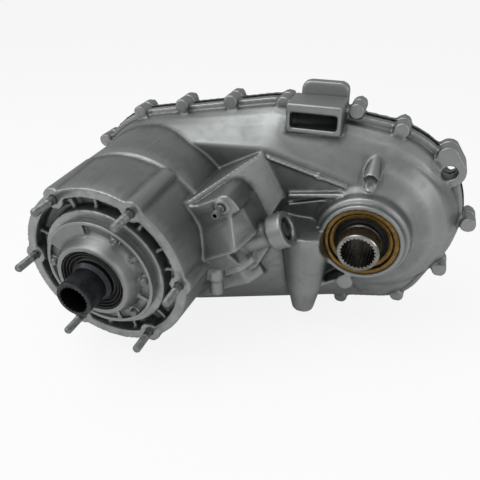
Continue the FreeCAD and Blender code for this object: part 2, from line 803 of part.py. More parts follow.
def rear_extension():
    body = turned([
        (0, rear_face_y),
        (extension_flange_r, rear_face_y),
        (extension_flange_r, rear_face_y + extension_flange),
        (rear_boss_r - 8, rear_face_y + extension_flange),
        (extension_neck_r, extension_end_y - 30),
        (extension_neck_r + 4, extension_end_y - 26),
        (extension_neck_r + 4, extension_end_y),
        (0, extension_end_y),
    ])
    hollow = turned([
        (0, rear_face_y - 1),
        (rear_boss_r - 16, rear_face_y - 1),
        (rear_boss_r - 16, rear_face_y + extension_flange),
        (yoke_bush_r + 4, extension_end_y - 50),
        (0, extension_end_y - 50),
    ])
    cuts = [hollow, disc(yoke_bush_r + 3 + fit_gap, extension_end_y - 51, extension_end_y - 16)]
    cuts.append(disc(yoke_bush_r + 9 + fit_gap, extension_end_y - 15, extension_end_y + 1))
    cuts.append(disc(yoke_bush_r + 0.5, extension_end_y - 17, extension_end_y))
    for angle in extension_bolt_angles():
        cuts.append(disc(case_bolt_r + fit_gap, rear_face_y - 1, rear_face_y + 20, *polar(extension_bolt_circle_r, angle)))
    return body.cut(cuts)


# a bolt from its tip to the face under its head, whichever way it points
def hex_bolt(shank_r, tip_y, seat_y, head, across, x, z):
    shank = disc(shank_r, min(tip_y, seat_y), max(tip_y, seat_y), x, z)
    top_y = seat_y + math.copysign(head, seat_y - tip_y)
    return joined([shank, hexagon(across, min(seat_y, top_y), max(seat_y, top_y), x, z, 30)])


def case_bolts():
    seat = rear_rim_y + 2
    return [hex_bolt(case_bolt_r, parting_y - 13, seat, case_bolt_head, 13, x, z) for x, z in case_bolt_places]


def flange_studs():
    studs = []
    for angle in stud_angles():
        x, z = polar(stud_circle_r, angle)
        point = taper(stud_r - 1.5, stud_r, -stud_reach, -stud_reach + 2, x, z)
        studs.append(joined([point, disc(stud_r, -stud_reach + 2, 0, x, z), disc(stud_root_r, 0, stud_depth - 1, x, z)]))
    return studs


# ================= input end
def bearing_retainer():
    body = turned([
        (0, 0),
        (retainer_r, 0),
        (retainer_r, -retainer_rim_height),
        (retainer_r - 4, -retainer_rim_height),
        (retainer_r - 5, -retainer_dish_floor),
        (retainer_hub_r + 3, -retainer_dish_floor),
        (retainer_hub_r, -retainer_rim_height),
        (retainer_mouth_r + 2, retainer_mouth_y + 3),
        (retainer_mouth_r, retainer_mouth_y),
        (0, retainer_mouth_y),
    ])
    ribs = []
    for angle in (32, 285, 338):
        rib = Part.makeBox(retainer_r - retainer_hub_r, retainer_rim_height - 1, 5,
                           Vector(retainer_hub_r - 1, -retainer_rim_height + 1, -2.5))
        rib.rotate(Vector(0, 0, 0), along_y, -angle)
        ribs.append(rib)
    pad = ring(retainer_r - 2, retainer_hub_r - 2, -retainer_rim_height, 0)
    wedge = plate([(0, 0), polar(90, 98), polar(90, 125), polar(90, 152)], -20, 1)
    pad = pad.common(wedge)
    bosses = [
        disc(6.5, -retainer_rim_height + 2, 0, *polar(retainer_bolt_circle_r, angle))
        for angle in retainer_bolt_angles
    ]
    solid = joined([body, pad] + ribs + bosses)
    cuts = [
        disc(seal_r, retainer_mouth_y - 1, retainer_mouth_y + 2 + seal_width),
        disc(seal_r - 5, retainer_mouth_y, 1),
    ]
    for angle in retainer_bolt_angles:
        cuts.append(disc(retainer_bolt_r + fit_gap, -20, 1, *polar(retainer_bolt_circle_r, angle)))
    return solid.cut(cuts)


def retainer_bolts():
    seat = -retainer_rim_height + 2
    return [
        hex_bolt(retainer_bolt_r, 12, seat, 5, 8, *polar(retainer_bolt_circle_r, angle))
        for angle in retainer_bolt_angles
    ]


def lip_seal(front, width, outer_r, bore_r, x=0.0, z=0.0):
    return turned([
        (outer_r, front),
        (outer_r, front + width),
        (outer_r - 2.5, front + width),
        (outer_r - 2.5, front + 2.5),
        (bore_r + 4, front + 2.5),
        (bore_r + 3, front + width - 2),
        (bore_r, front + width - 3),
        (bore_r + 1, front + 1),
        (bore_r + 4, front),
    ], x, z)


def input_gear():
    sun_tip_r = sun_pitch_r + addendum
    sun_root_r = sun_pitch_r - dedendum
    body = turned([
        (0, nose_y),
        (nose_r - 1, nose_y),
        (nose_r, nose_y + 1),
        (nose_r, -28),
        (input_seat_r, -24),
        (input_seat_r, input_bearing_end),
        (input_seat_r + 4, input_bearing_end),
        (input_seat_r + 4, gear_y),
        (0, gear_y),
    ])
    teeth = plate(wheel(sun_teeth, sun_root_r, sun_tip_r, backlash / 2), gear_y, gear_end)
    solid = joined([body, teeth])
    bore = plate(spline(nose_spline_count, nose_bore_r - nose_spline_depth, nose_bore_r), nose_y - 1,
                 nose_y + nose_bore_depth)
    clutch_y = sleeve_y - 2
    cuts = [
        bore,
        disc(nose_bore_r - nose_spline_depth - 3, nose_y + nose_bore_depth, gear_y - 26),
        disc(pilot_bearing_r + fit_gap, gear_y - 12, clutch_y),
        disc(clutch_root_r, clutch_y - 6, clutch_y),
        plate(spline(clutch_teeth, clutch_root_r, clutch_tip_r, clutch_slack), clutch_y, gear_end + 1),
    ]
    return solid.cut(cuts)


def ball_bearing(name, inner_r, outer_r, front, width, ball_r, x=0.0, z=0.0, cage=True):
    middle_r = (inner_r + outer_r) / 2
    middle_y = front + width / 2
    shoulder = 0.55 * ball_r
    groove = ball_r + fit_gap
    for side, seat_r, sign in (("inner", inner_r + fit_gap, -1), ("outer", outer_r, 1)):
        profile = [
            (seat_r, front),
            (seat_r, front + width),
            (middle_r + sign * shoulder, front + width),
            (middle_r + sign * shoulder, middle_y + 0.87 * ball_r),
            (middle_r + sign * groove, middle_y + 0.5 * ball_r),
            (middle_r + sign * groove, middle_y - 0.5 * ball_r),
            (middle_r + sign * shoulder, middle_y - 0.87 * ball_r),
            (middle_r + sign * shoulder, front),
        ]
        save(name + "_" + side + "_race", turned(profile, x, z))
    balls = []
    posts = []
    for index in range(ball_count):
        ball_x, ball_z = polar(middle_r, 360.0 * index / ball_count, x, z)
        balls.append(Part.makeSphere(ball_r, Vector(ball_x, middle_y, ball_z)))
    save(name + "_balls", *balls)
    if cage:
        rings = [
            ring(middle_r + 1.5, middle_r - 1.5, middle_y + ball_r + 0.3, middle_y + ball_r + 1.8, x, z),
            ring(middle_r + 1.5, middle_r - 1.5, middle_y - ball_r - 1.8, middle_y - ball_r - 0.3, x, z),
        ]
        for index in range(ball_count):
            post = Part.makeBox(2.4, 2 * ball_r + 2, 2.4, Vector(x + middle_r - 1.2, middle_y - ball_r - 1, z - 1.2))
            post.rotate(Vector(x, 0, z), along_y, -360.0 * (index + 0.5) / ball_count)
            posts.append(post)
        save(name + "_cage", joined(rings + posts))


# ================= planetary set
def annulus_gear():
    root_r = ring_pitch_r + dedendum
    tip_r = ring_pitch_r - addendum
    space = wheel(ring_teeth, tip_r, root_r, -backlash / 2, math.pi / ring_teeth)
    blank = disc(annulus_r, gear_y - 0.5, gear_end + 0.5)
    return blank.cut([plate(space, gear_y - 1, gear_end + 1), disc(tip_r, gear_y - 1, gear_end + 1)])


def snap_ring(inner, outer, front, rear, x=0.0, z=0.0):
    gap = Part.makeBox(12, rear - front + 2, outer, Vector(x - 6, front - 1, z))
    return ring(outer, inner, front, rear, x, z).cut(gap)


def planet_angles():
    return [360.0 * index / planet_count for index in range(planet_count)]


def planet_carrier():
    front_plate = ring(planet_circle_r + 13, input_seat_r + 5, carrier_y, carrier_y + carrier_plate)
    rear_plate = disc(planet_circle_r + 13, carrier_rear_y, carrier_rear_y + carrier_rear_plate)
    hub = disc(clutch_tip_r + 10, carrier_rear_y, carrier_end)
    bridges = []
    for angle in planet_angles():
        place = polar(planet_circle_r + 4, angle + 45)
        bridges.append(disc(8, carrier_y, carrier_rear_y + 1, *place))
    solid = joined([front_plate, rear_plate, hub] + bridges)
    cuts = [
        disc(clutch_tip_r + 2, carrier_rear_y - 1, carrier_clutch_y),
        plate(spline(clutch_teeth, clutch_root_r, clutch_tip_r, clutch_slack), carrier_clutch_y - 1, carrier_end + 1),
    ]
    for angle in planet_angles():
        cuts.append(disc(planet_pin_r + fit_gap, carrier_y - 1, carrier_rear_y + carrier_rear_plate + 1,
                         *polar(planet_circle_r, angle)))
    return solid.cut(cuts)


def planet_gear(angle):
    x, z = polar(planet_circle_r, angle)
    turn = math.radians(angle) + math.pi / planet_teeth
    outline = wheel(planet_teeth, planet_pitch_r - dedendum, planet_pitch_r + addendum, backlash / 2, turn, x, z)
    return plate(outline, gear_y, gear_end).cut(disc(planet_pin_r + fit_gap, gear_y - 1, gear_end + 1, x, z))


def planet_pins():
    return [disc(planet_pin_r, carrier_y + 0.5, carrier_rear_y + carrier_rear_plate - 0.5, *polar(planet_circle_r, angle))
            for angle in planet_angles()]


# ================= main shaft and clutches
def mainshaft():
    body = turned([
        (0, gear_y - 11),
        (pilot_r - 1, gear_y - 11),
        (pilot_r, gear_y - 10),
        (pilot_r, sleeve_y - 4),
        (shaft_r, sleeve_y - 4),
        (shaft_r, sprocket_clutch_y),
        (shaft_r, rear_bearing_y),
        (shaft_r + 0.45, rear_bearing_y),
        (shaft_r + 0.45, rear_bearing_end + 3),
        (shaft_r - 0.5, rear_bearing_end + 3),
        (shaft_r - 0.5, extension_end_y - 110),
        (shaft_spline_r - 2, extension_end_y - 108),
        (shaft_spline_r - 2, shaft_tail_y),
        (0, shaft_tail_y),
    ])
    tail = plate(spline(shaft_spline_count, shaft_spline_r - 3, shaft_spline_r), extension_end_y - 108, shaft_tail_y - 2)
    return joined([body, tail])


def needle_bearing(inner, outer, front, rear, x=0.0, z=0.0):
    return ring(outer, inner, front, rear, x, z)


def grooved_sleeve(front, rear, groove_y, body_r, collar_r, collar_y):
    return turned([
        (0, front),
        (body_r, front),
        (body_r, collar_y),
        (collar_r, collar_y),
        (collar_r, groove_y),
        (collar_r - groove_depth, groove_y),
        (collar_r - groove_depth, groove_y + groove_width),
        (collar_r, groove_y + groove_width),
        (collar_r, rear),
        (0, rear),
    ])


def range_sleeve():
    body = grooved_sleeve(sleeve_y, sleeve_end, sleeve_groove_y, clutch_root_r - 0.7, range_collar_r, sleeve_groove_y - 4)
    teeth = plate(spline(clutch_teeth, clutch_root_r - 1.2, clutch_tip_r - 0.4), sleeve_y, sleeve_y + clutch_width)
    return joined([body, teeth]).cut(disc(shaft_r + sleeve_bore_gap, sleeve_y - 1, sleeve_end + 1))


def mode_hub():
    teeth = plate(spline(mode_teeth, mode_root_r, mode_tip_r), mode_hub_y, mode_hub_end)
    return teeth.cut(disc(shaft_r + fit_gap, mode_hub_y - 1, mode_hub_end + 1))


def mode_sleeve():
    body = grooved_sleeve(mode_sleeve_y, mode_sleeve_y + mode_sleeve_width, mode_groove_y, mode_sleeve_r, mode_sleeve_r,
                          mode_sleeve_y)
    return body.cut(plate(spline(mode_teeth, mode_root_r, mode_tip_r, sleeve_bore_gap),
                          mode_sleeve_y - 1, mode_sleeve_y + mode_sleeve_width + 1))


def sprocket_rim(x=0.0, z=0.0):
    outline = toothed(sprocket_teeth, sprocket_tip_r - 6, sprocket_tip_r, 0.058, 0.03, 0.0, x, z)
    blank = plate(outline, chain_y + 1, chain_end - 1)
    recess = ring(sprocket_tip_r - 14, 42, chain_y, chain_y + 9, x, z)
    back_recess = ring(sprocket_tip_r - 14, 42, chain_end - 9, chain_end, x, z)
    return blank.cut([recess, back_recess])


def drive_sprocket():
    clutch = plate(spline(mode_teeth, mode_root_r, mode_tip_r), sprocket_clutch_y, sprocket_clutch_end)
    neck = disc(mode_root_r - 1, sprocket_clutch_end, sprocket_end)
    return joined([clutch, neck, sprocket_rim()]).cut(
        disc(shaft_r + 4, sprocket_clutch_y - 1, sprocket_end + 1))


def chain_links():
    return [chain_link(*chain_path(index * chain_pitch)) for index in range(chain_half_span_links + sprocket_teeth)]


# place and heading of a point that has travelled along the pitch line of the chain
def chain_path(travel):
    lean = math.atan2(output_z, output_x)
    half_wrap = sprocket_teeth * chain_pitch / 2
    total = 2 * centre_distance + 2 * half_wrap
    travel = travel % total
    if travel < centre_distance:
        local_x, local_z, heading = travel, -sprocket_pitch_r, 0.0
    elif travel < centre_distance + half_wrap:
        angle = (travel - centre_distance) / sprocket_pitch_r
        local_x = centre_distance + sprocket_pitch_r * math.sin(angle)
        local_z = -sprocket_pitch_r * math.cos(angle)
        heading = angle
    elif travel < 2 * centre_distance + half_wrap:
        local_x = centre_distance - (travel - centre_distance - half_wrap)
        local_z = sprocket_pitch_r
        heading = math.pi
    else:
        angle = (travel - 2 * centre_distance - half_wrap) / sprocket_pitch_r
        local_x = -sprocket_pitch_r * math.sin(angle)
        local_z = sprocket_pitch_r * math.cos(angle)
        heading = math.pi + angle
    x = local_x * math.cos(lean) - local_z * math.sin(lean)
    z = local_x * math.sin(lean) + local_z * math.cos(lean)
    return x, z, heading + lean


def chain_link(x, z, heading):
    height = link_height / 2
    inner_half = (sprocket_pitch_r - height) * math.tan(math.pi / sprocket_teeth) - link_gap / 2
    pitch_half = chain_pitch / 2 - link_gap / 2
    outer_half = pitch_half - 1
    corners = [
        (-inner_half, height),
        (-pitch_half, 0),
        (-outer_half, -height),
        (outer_half, -height),
        (pitch_half, 0),
        (inner_half, height),
    ]
    outline = [
        (x + a * math.cos(heading) - b * math.sin(heading), z + a * math.sin(heading) + b * math.cos(heading))
        for a, b in corners
    ]
    return plate(outline, chain_y, chain_end)


# ================= front output
def front_output_shaft():
    seat_end = output_bearing_end
    body = turned([
        (0, output_nose_y),
        (output_nose_r - 1, output_nose_y),
        (output_nose_r, output_nose_y + 1),
        (output_nose_r, output_seal_y - 4),
        (output_seat_r, output_seal_y - 2),
        (output_seat_r, seat_end),
        (output_seat_r + 5, seat_end),
        (output_seat_r + 5, chain_y - 2),
        (output_seat_r, chain_y - 2),
        (output_seat_r, output_tail_y - 2),
        (output_tail_r, output_tail_y - 2),
        (output_tail_r, output_tail_end + 2),
        (0, output_tail_end + 2),
    ], output_x, output_z)
    outline = [(x + output_x, z + output_z) for x, z in
               spline(output_spline_count, output_bore_r - output_spline_depth, output_bore_r)]
    return body.cut(plate(outline, output_nose_y - 1, output_nose_y + output_bore_depth))


def driven_sprocket():
    hub = ring(40, output_seat_r + fit_gap, chain_y - 2, chain_end, output_x, output_z)
    rim = sprocket_rim(output_x, output_z).cut(disc(output_seat_r + fit_gap, chain_y, chain_end + 1, output_x, output_z))
    return joined([hub, rim])


def output_seal_shell():
    front = output_seal_y
    return turned([
        (output_seal_r, front - 1.2),
        (output_seal_r, front + output_seal_width),
        (output_seal_r - 2, front + output_seal_width),
        (output_seal_r - 2, front + 1),
        (output_seal_r - 6.2, front + 1),
        (output_seal_r - 6.2, front - 1.2),
    ], output_x, output_z)


# ================= oil pump
def gerotor_outline():
    points = []
    total = pump_lobes * pump_lobe_points
    for index in range(total):
        angle = 2 * math.pi * index / total
        more = (pump_lobes + 1) * angle
        x = pump_lobe_circle_r * math.cos(angle) + pump_offset * math.cos(more)
        z = pump_lobe_circle_r * math.sin(angle) + pump_offset * math.sin(more)
        along_x = -pump_lobe_circle_r * math.sin(angle) - pump_offset * (pump_lobes + 1) * math.sin(more)
        along_z = pump_lobe_circle_r * math.cos(angle) + pump_offset * (pump_lobes + 1) * math.cos(more)
        length = math.hypot(along_x, along_z)
        reach = pump_lobe_r + pump_gap
        points.append((x - reach * along_z / length, z + reach * along_x / length))
    return points


def pump_inner_rotor():
    front = pump_front_y + pump_front_plate
    return plate(gerotor_outline(), front + 0.2, rear_wall_y - 0.2).cut(
        disc(shaft_r + fit_gap, front, rear_wall_y))


def pump_outer_rotor():
    front = pump_front_y + pump_front_plate
    blank = disc(pump_ring_r, front + 0.2, rear_wall_y - 0.2, pump_offset, 0)
    hollow = disc(pump_lobe_circle_r - 1, front, rear_wall_y, pump_offset, 0)
    lobes = [
        disc(pump_lobe_r, front, rear_wall_y, *polar(pump_lobe_circle_r, 360.0 * index / (pump_lobes + 1), pump_offset, 0))
        for index in range(pump_lobes + 1)
    ]
    return blank.cut(hollow.cut(lobes))


def oil_pump_housing():
    front = pump_front_y + pump_front_plate
    body = disc(pump_housing_r, pump_front_y, rear_wall_y)
    cuts = [
        disc(pump_ring_r + fit_gap, front, rear_wall_y + 1, pump_offset, 0),
        disc(shaft_r + seat_gap, pump_front_y - 1, front + 1),
        Part.makeCylinder(pickup_r + fit_gap, 10, Vector(0, pickup_y, -pump_housing_r + 6), Vector(0, 0, -1)),
    ]
    for angle in pump_bolt_angles:
        cuts.append(disc(pump_bolt_r + fit_gap, pump_front_y - 1, rear_wall_y + 1, *polar(pump_bolt_circle_r, angle)))
    return body.cut(cuts)


def pickup_tube():
    outer = Part.makeCylinder(pickup_r, pickup_drop - pump_housing_r + 6, Vector(0, pickup_y, -pump_housing_r + 5.7),
                              Vector(0, 0, -1))
    inner = Part.makeCylinder(pickup_r - 1, 60, Vector(0, pickup_y, -pump_housing_r + 8), Vector(0, 0, -1))
    return outer.cut(inner)


def pickup_strainer():
    foot_z = -pickup_drop - 14
    box = Part.makeBox(34, 16, 15, Vector(-17, pickup_y - 9, foot_z))
    return box.cut([
        Part.makeCylinder(pickup_r + fit_gap, 10, Vector(0, pickup_y, -pickup_drop + 2), Vector(0, 0, -1)),
        Part.makeBox(30, 12, 10, Vector(-15, pickup_y - 7, foot_z - 1)),
    ])


def pump_bolts():
    return [hex_bolt(pump_bolt_r, rear_wall_y + 10, pump_front_y, 4, 10, *polar(pump_bolt_circle_r, angle))
            for angle in pump_bolt_angles]


# ================= shift mechanism
def pin_place(reach):
    half = math.radians(sector_range_degrees / 2)
    return sector_y - reach * math.sin(half), sector_w + reach * math.cos(half)


def shift_rail():
    rail_x, rail_z = rail_place()
    return disc(rail_r, rail_front_y, rail_rear_y, rail_x, rail_z)


def fork(groove_y, collar_r, hub_front, hub_rear):
    rail_x, rail_z = rail_place()
    front = groove_y + fork_gap
    rear = groove_y + groove_width - fork_gap
    inner = collar_r - groove_depth + 0.5
    claw = ring(inner + 12, inner, front, rear)
    across = Part.makeBox(200, 20, 200, Vector(-200, front - 5, -100))
    across.rotate(Vector(0, 0, 0), along_y, -tilt_degrees / 2)
    claw = claw.cut(across)
    arm = belt_plate([(rail_x * 0.6, rail_z * 0.6, 18), (rail_x, rail_z, fork_hub_r)], front, rear)
    arm = arm.cut(disc(inner + 6, front - 1, rear + 1))
    hub = disc(fork_hub_r, hub_front, hub_rear, rail_x, rail_z)
    return [claw, arm, hub]


def rail_bore(front, rear):
    rail_x, rail_z = rail_place()
    return disc(rail_r + fit_gap, front - 1, rear + 1, rail_x, rail_z)


def range_fork():
    pin_y, pin_w = pin_place(range_pin_reach)
    hub_front = rail_front_y + 20
    hub_rear = sleeve_end
    solids = fork(sleeve_groove_y, range_collar_r, hub_front, hub_rear)
    bar = tilted_block(range_bar_u, range_bar_u + bar_thickness, pin_y - 5, hub_front + 10, pin_w - 4, rail_w + 4)
    root = tilted_block(rail_u + 4, range_bar_u + bar_thickness, hub_front, hub_front + 10, rail_w - 9, rail_w + 4)
    slot = tilted_block(range_bar_u - 1, range_bar_u + 10, pin_y - drive_pin_r - 0.4, pin_y + drive_pin_r + 0.4,
                        pin_w - 10, pin_w + drive_pin_r + 2.5)
    return joined(solids + [bar, root]).cut([slot, rail_bore(hub_front, hub_rear)])


def mode_fork():
    pin_y, pin_w = pin_place(mode_pin_reach)
    hub_front = mode_hub_y
    hub_rear = mode_hub_end + 2
    solids = fork(mode_groove_y, mode_sleeve_r, hub_front, hub_rear)
    bar = tilted_block(mode_bar_u, mode_bar_u + bar_thickness, pin_y - 5, hub_rear - 2, pin_w - 7, pin_w + 3.2)
    root = tilted_block(rail_u + 4, mode_bar_u + bar_thickness, hub_front, hub_rear - 2, pin_w - 6, rail_w + 4)
    slot = tilted_block(mode_bar_u - 1, mode_bar_u + 10, pin_y - drive_pin_r - 0.4, pin_y + drive_pin_r + 0.4,
                        pin_w - drive_pin_r - 0.6, pin_w + 10)
    return joined(solids + [bar, root]).cut([slot, rail_bore(hub_front, hub_rear)])


def shift_sector():
    range_y, range_w = pin_place(range_pin_reach)
    mode_y, mode_w = pin_place(mode_pin_reach)
    pivot = tilted_rod(11, sector_plate_u, sector_plate_u + sector_plate, sector_y, sector_w)
    tip = tilted_rod(5, sector_plate_u, sector_plate_u + sector_plate, range_y, range_w)
    length = math.hypot(range_y - sector_y, range_w - sector_w)
    lean = math.degrees(math.atan2(sector_y - range_y, range_w - sector_w))
    web = Part.makeBox(sector_plate, 10, length, Vector(sector_plate_u, sector_y - 5, sector_w))
    web.rotate(Vector(sector_plate_u, sector_y, sector_w), Vector(1, 0, 0), lean)
    web.rotate(Vector(0, 0, 0), along_y, -tilt_degrees)
    shaft = tilted_rod(sector_shaft_r, sector_plate_u, sector_face_u - 12, sector_y, sector_w)
    flatted = tilted_rod(sector_shaft_r, sector_face_u - 12, sector_face_u - 3, sector_y, sector_w)
    flat = tilted_block(sector_face_u - 12, sector_face_u, sector_y + 4, sector_y + 12, sector_w - 12, sector_w + 12)
    solids = [pivot, tip, web, shaft, flatted.cut(flat)]
    solids.append(tilted_rod(drive_pin_r, range_bar_u + 0.5, sector_plate_u, range_y, range_w))
    solids.append(tilted_rod(drive_pin_r, mode_bar_u + 0.5, sector_plate_u, mode_y, mode_w))
    return joined(solids)


def sector_seal():
    outer = tilted_rod(13.45, sector_face_u - 13.5, sector_face_u - 8.5, sector_y, sector_w)
    return outer.cut(tilted_rod(sector_shaft_r + fit_gap, sector_face_u - 15, sector_face_u - 7, sector_y, sector_w))


def vent_tube():
    tube = turned([
        (vent_r - 2, vent_tip_y),
        (vent_r - 0.8, vent_tip_y),
        (vent_r + 0.3, vent_tip_y + 4),
        (vent_r - 0.6, vent_tip_y + 4.5),
        (vent_r - 0.6, vent_tip_y + 14),
        (vent_r, vent_tip_y + 15),
        (vent_r, vent_seat_y + 12),
        (vent_r - 2, vent_seat_y + 12),
    ], vent_x, vent_z)
    return tube


save("front_case", front_case())
save("case_sealant", sealant_bead())
save("rear_case", rear_case())
save("rear_extension", rear_extension())
save("case_bolts", *case_bolts())
save("oil_plugs", *oil_plugs())
save("flange_studs", *flange_studs())
save("bearing_retainer", bearing_retainer())
save("retainer_bolts", *retainer_bolts())
save("input_seal", lip_seal(retainer_mouth_y + 2, seal_width, seal_r - fit_gap, input_seat_r + fit_gap))
save("input_gear", input_gear())
ball_bearing("input_bearing", input_seat_r, input_bearing_outer_r, input_bearing_y, input_bearing_width, input_ball_r)
save("annulus_gear", annulus_gear())
save("annulus_snap_ring", snap_ring(annulus_r - 4, annulus_r + 2.6, gear_end + 1.6, gear_end + 3.3))
save("planet_carrier", planet_carrier())
for number, angle in enumerate(planet_angles(), 1):
    save("planet_gear_" + str(number), planet_gear(angle))
save("planet_pins", *planet_pins())
save("mainshaft", mainshaft())
save("pilot_bearing", needle_bearing(pilot_r + fit_gap, pilot_bearing_r, gear_y - 9, sleeve_y - 6))
save("range_sleeve", range_sleeve())
save("mode_hub", mode_hub())
save("mode_sleeve", mode_sleeve())
save("drive_sprocket", drive_sprocket())
save("sprocket_bearing", needle_bearing(shaft_r + fit_gap, shaft_r + 4 - fit_gap, sprocket_clutch_y + 1, sprocket_end - 1))
save("drive_chain", *chain_links())
save("front_output_shaft", front_output_shaft())
ball_bearing("output_bearing", output_seat_r, output_bearing_outer_r, output_bearing_y, output_bearing_width,
             output_ball_r, output_x, output_z)
save("driven_sprocket", driven_sprocket())
save("output_tail_bearing", needle_bearing(output_tail_r + fit_gap, output_tail_bearing_r, output_tail_y,
                                           output_tail_end, output_x, output_z))
save("output_seal_shell", output_seal_shell())
save("output_seal_lip", lip_seal(output_seal_y + 1.2, output_seal_width - 1.2, output_seal_r - 2.1,
                                 output_seat_r + fit_gap, output_x, output_z))
ball_bearing("rear_bearing", shaft_r + 0.45, rear_bearing_outer_r, rear_bearing_y, rear_bearing_width, rear_ball_r,
             cage=False)
save("oil_pump_housing", oil_pump_housing())
save("oil_pump_inner_rotor", pump_inner_rotor())
save("oil_pump_outer_rotor", pump_outer_rotor())
save("pump_bolts", *pump_bolts())
save("pickup_tube", pickup_tube())
save("pickup_strainer", pickup_strainer())
save("extension_bush", ring(yoke_bush_r + 3, yoke_bush_r, extension_end_y - 50, extension_end_y - 17))
save("extension_seal", lip_seal(extension_end_y - 14, 13, yoke_bush_r + 9, yoke_bush_r))
save("extension_bolts", *[
    hex_bolt(case_bolt_r, rear_face_y - 14, rear_face_y + extension_flange, case_bolt_head, 13,
             *polar(extension_bolt_circle_r, angle)) for angle in extension_bolt_angles()])
save("shift_rail", shift_rail())
save("range_fork", range_fork())
save("mode_fork", mode_fork())
save("shift_sector", shift_sector())
save("sector_seal", sector_seal())
save("vent_tube", vent_tube())
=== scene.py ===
import json
import math

import bmesh
import bpy
import numpy as np
from mathutils import Matrix, Vector, noise


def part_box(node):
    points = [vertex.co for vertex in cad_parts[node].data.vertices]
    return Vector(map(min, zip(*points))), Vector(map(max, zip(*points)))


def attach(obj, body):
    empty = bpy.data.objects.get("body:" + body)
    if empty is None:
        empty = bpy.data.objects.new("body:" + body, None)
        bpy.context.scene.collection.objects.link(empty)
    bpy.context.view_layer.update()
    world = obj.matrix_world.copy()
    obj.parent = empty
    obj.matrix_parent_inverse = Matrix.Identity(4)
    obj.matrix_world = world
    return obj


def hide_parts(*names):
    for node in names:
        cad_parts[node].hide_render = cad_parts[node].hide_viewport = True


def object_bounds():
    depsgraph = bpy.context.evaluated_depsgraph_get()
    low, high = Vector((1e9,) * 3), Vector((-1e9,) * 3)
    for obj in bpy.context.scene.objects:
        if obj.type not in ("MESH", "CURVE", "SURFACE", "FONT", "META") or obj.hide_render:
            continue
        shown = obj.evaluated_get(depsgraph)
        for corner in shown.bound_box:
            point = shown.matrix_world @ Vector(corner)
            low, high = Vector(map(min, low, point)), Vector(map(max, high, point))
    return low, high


mm = 0.001
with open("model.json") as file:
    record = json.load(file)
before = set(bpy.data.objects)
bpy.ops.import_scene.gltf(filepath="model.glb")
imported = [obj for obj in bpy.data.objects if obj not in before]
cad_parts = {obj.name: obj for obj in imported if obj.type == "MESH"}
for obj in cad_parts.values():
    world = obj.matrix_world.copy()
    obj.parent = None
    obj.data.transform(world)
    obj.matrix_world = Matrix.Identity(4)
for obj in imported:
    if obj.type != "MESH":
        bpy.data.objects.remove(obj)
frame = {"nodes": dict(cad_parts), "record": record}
cadNodes = frame["nodes"]
cadBounds = [list(corner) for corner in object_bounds()]
print("frame loaded:", len(cadNodes), "pieces")


# ---- colour and node helpers
def linearColour(hexText):
    channels = [int(hexText[start:start + 2], 16) / 255 for start in (0, 2, 4)]
    return [c / 12.92 if c <= 0.04045 else ((c + 0.055) / 1.055) ** 2.4 for c in channels] + [1.0]


# one node with its own settings and its inputs or links
def addNode(tree, kind, settings=None, inputs=None):
    node = tree.nodes.new(kind)
    for name, value in (settings or {}).items():
        setattr(node, name, value)
    for name, value in (inputs or {}).items():
        if isinstance(value, bpy.types.NodeSocket):
            tree.links.new(value, node.inputs[name])
        else:
            node.inputs[name].default_value = value
    return node


def startMaterial(name):
    material = bpy.data.materials.new(name)
    material.use_nodes = True
    tree = material.node_tree
    tree.nodes.clear()
    place = addNode(tree, "ShaderNodeTexCoord").outputs["Object"]
    return material, tree, place


def finishMaterial(tree, colour, roughness, metallic, bump):
    sockets = {"Base Color": colour, "Roughness": roughness, "Metallic": metallic, "Normal": bump}
    shader = addNode(tree, "ShaderNodeBsdfPrincipled", None, sockets)
    addNode(tree, "ShaderNodeOutputMaterial", None, {"Surface": shader.outputs["BSDF"]})


# noise whose lumps are about sizeMm wide
def grain(tree, place, sizeMm, detail, rough, stretch=None):
    if stretch:
        stretched = {"Vector": place, "Scale": stretch}
        place = addNode(tree, "ShaderNodeMapping", None, stretched).outputs["Vector"]
    sockets = {"Vector": place, "Scale": 1 / (sizeMm * mm), "Detail": detail, "Roughness": rough}
    return addNode(tree, "ShaderNodeTexNoise", None, sockets).outputs["Fac"]


# a bump that stands depthMm out where the height is 1
def grainBump(tree, strength, depthMm, height):
    sockets = {"Strength": strength, "Distance": depthMm * mm, "Height": height}
    return addNode(tree, "ShaderNodeBump", None, sockets).outputs["Normal"]


def mixColour(tree, fac, first, second):
    node = addNode(tree, "ShaderNodeMix", {"data_type": "RGBA"})
    for socket, value in ((node.inputs[0], fac), (node.inputs[6], first), (node.inputs[7], second)):
        if isinstance(value, bpy.types.NodeSocket):
            tree.links.new(value, socket)
        else:
            socket.default_value = value
    return node.outputs[2]


def mapped(tree, value, low, high, fromLow=0.0, fromHigh=1.0):
    sockets = {"Value": value, "From Min": fromLow, "From Max": fromHigh, "To Min": low, "To Max": high}
    return addNode(tree, "ShaderNodeMapRange", None, sockets).outputs["Result"]


# ---- castings: shot-blasted aluminium, a dull satin grey, with painted shade in its hollows and a painted highlight on its ridges
castingFinish = {
    "metal": "838685",
    "pale": "8f9291",
    "paintedRidgeHighlight": "a3a6a5",  # painted highlight: ridges painted brighter than the metal
    "stained": "7c7f7e",
    # painted shade: the near-black grey that the hollows are darkened towards
    "paintedShade": "3a3b3b",
    "blotchMm": 60,
    "stainMm": 12,
    "grainMm": 1.0,  # real blast grain is about 0.3 mm, drawn coarser so that it shows
    "grainDepthMm": 0.07,
    "roughness": (0.44, 0.50),
    "paleRange": (0.35, 0.65),  # blotch noise over which the metal goes pale
    "stainRange": (0.52, 0.72),
    "stainShare": 0.6,
    "hollowRange": (0.62, 0.95),  # relief over which the painted shade darkens the hollows
    "paintedShadeShare": (0.15, 0.55),  # share of the painted shade in the hollows, in a clean place and in a stained one
    "ridgeRange": (0.08, 0.36),  # relief over which a ridge gets the painted highlight
    "paintedRidgeHighlightShare": 0.6,
}
roughRange = (0.3, 0.7)  # noise over which a finish goes from its lowest roughness to its highest


